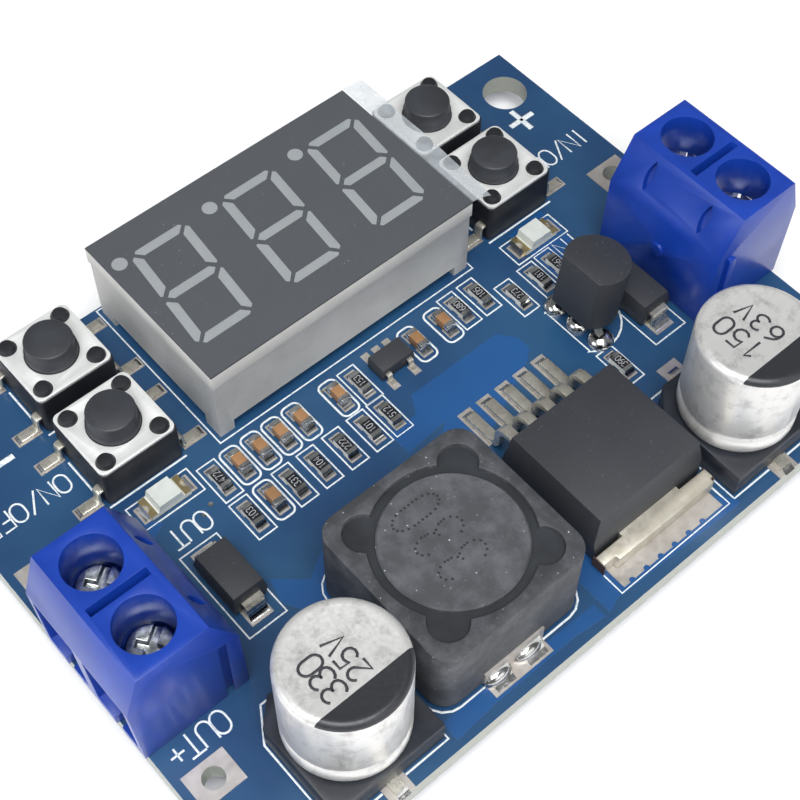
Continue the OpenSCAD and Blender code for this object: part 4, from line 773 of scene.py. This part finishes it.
# Copper areas that show through the mask as a lighter blue, raised by the copper's thickness.
COPPER_STEP = 0.012
plates("copper_areas", [
    [(25.6, 17.6), (27.0, 16.2), (27.0, 14.4), (29.1, 14.4), (29.1, 17.9), (36.8, 17.9),
     (37.7, 18.6), (37.7, 19.7), (36.7, 21.0), (28.8, 21.0), (28.0, 19.6), (25.6, 19.6)],
    [(12.3, 14.4), (13.4, 12.6), (14.7, 12.2), (14.7, 14.6), (17.5, 15.2), (17.5, 16.3),
     (12.7, 16.3)],
    [(14.6, 0.5), (27.1, 0.5), (27.1, 1.6), (24.6, 1.6), (24.6, 0.75), (17.9, 0.75),
     (17.9, 1.9), (14.6, 1.9)],
    [(27.5, 0.5), (39.6, 0.5), (39.6, 0.9), (28.6, 0.9), (28.6, 14.0), (27.5, 14.0)],
    [(5.6, 19.8), (8.9, 19.8), (8.9, 23.4), (10.0, 24.0), (8.2, 26.4), (5.6, 26.4)],
    [(43.5, 19.6), (46.9, 19.6), (46.9, 27.1), (44.9, 27.1), (43.5, 26.9)]],
    TOP, COPPER_STEP, POUR_MASK)

# Colour spots that mark one end of each lamp.
green = []
for x, y in ((11.9, 25.72), (11.95, 24.76), (43.83, 25.72), (43.83, 24.82)):
    green.append([(x - 0.16, y - 0.12), (x + 0.16, y - 0.14), (x + 0.14, y + 0.13),
                  (x - 0.12, y + 0.12)])
plates("lamp_marks", green, LAMP_TOP - 0.02, 0.03, MARK_GREEN)

# Bare copper where the tab's ends were sheared.
work = bmesh.new()
for x in (tab_low[0], tab_high[0]):
    bmesh.ops.create_cube(work, size=1.0, matrix=Matrix.Translation(
        (x * MM, (tab_low[1] + 0.75) * MM, (tab_low[2] + tab_high[2]) / 2 * MM)) @ Matrix.Diagonal(
        (0.04 * MM, 1.1 * MM, (tab_high[2] - tab_low[2]) * 0.82 * MM, 1)))
from_work("sheared_tab_ends", work, CUT_COPPER)

# The film lies on the display and hangs past it, its free corner curling down.
FILM_STOCK = 0.03
film_low, film_high = span("display_film")
work = bmesh.new()
bmesh.ops.create_grid(work, x_segments=60, y_segments=24, size=0.5)
reach = film_high[0] - DISPLAY_END
for vert in work.verts:
    x = film_low[0] + (vert.co.x + 0.5) * (film_high[0] - film_low[0])
    y = film_low[1] + (vert.co.y + 0.5) * (film_high[1] - film_low[1])
    out = max(0.0, (x - DISPLAY_END) / reach)
    near = 1 - (vert.co.y + 0.5)
    sag = out ** 1.7 * (0.1 + 0.55 * near ** 3) - 0.05 * out * math.sin(y * 1.1)
    vert.co = (x * MM, y * MM, (film_high[2] - FILM_STOCK - sag) * MM)
bmesh.ops.solidify(work, geom=work.faces[:], thickness=FILM_STOCK * MM)
from_work("display_film_sheet", work, FILM, node="display_film")

# ---------- floor ----------

floor_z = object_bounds()[0][2]
work = bmesh.new()
bmesh.ops.create_grid(work, x_segments=1, y_segments=1, size=1.0)
bmesh.ops.translate(work, vec=(0, 0, floor_z), verts=work.verts)
floor_mesh = bpy.data.meshes.new("floor")
work.to_mesh(floor_mesh)
work.free()
floor = bpy.data.objects.new("floor", floor_mesh)
scene.collection.objects.link(floor)
FLOOR_PAPER = bpy.data.materials.new("white_paper_sweep")
FLOOR_PAPER.use_nodes = True
paper = shader_of(FLOOR_PAPER)
paper.inputs["Base Color"].default_value = linear("#fbfbfb")
paper.inputs["Roughness"].default_value = 0.9
floor_mesh.materials.append(FLOOR_PAPER)
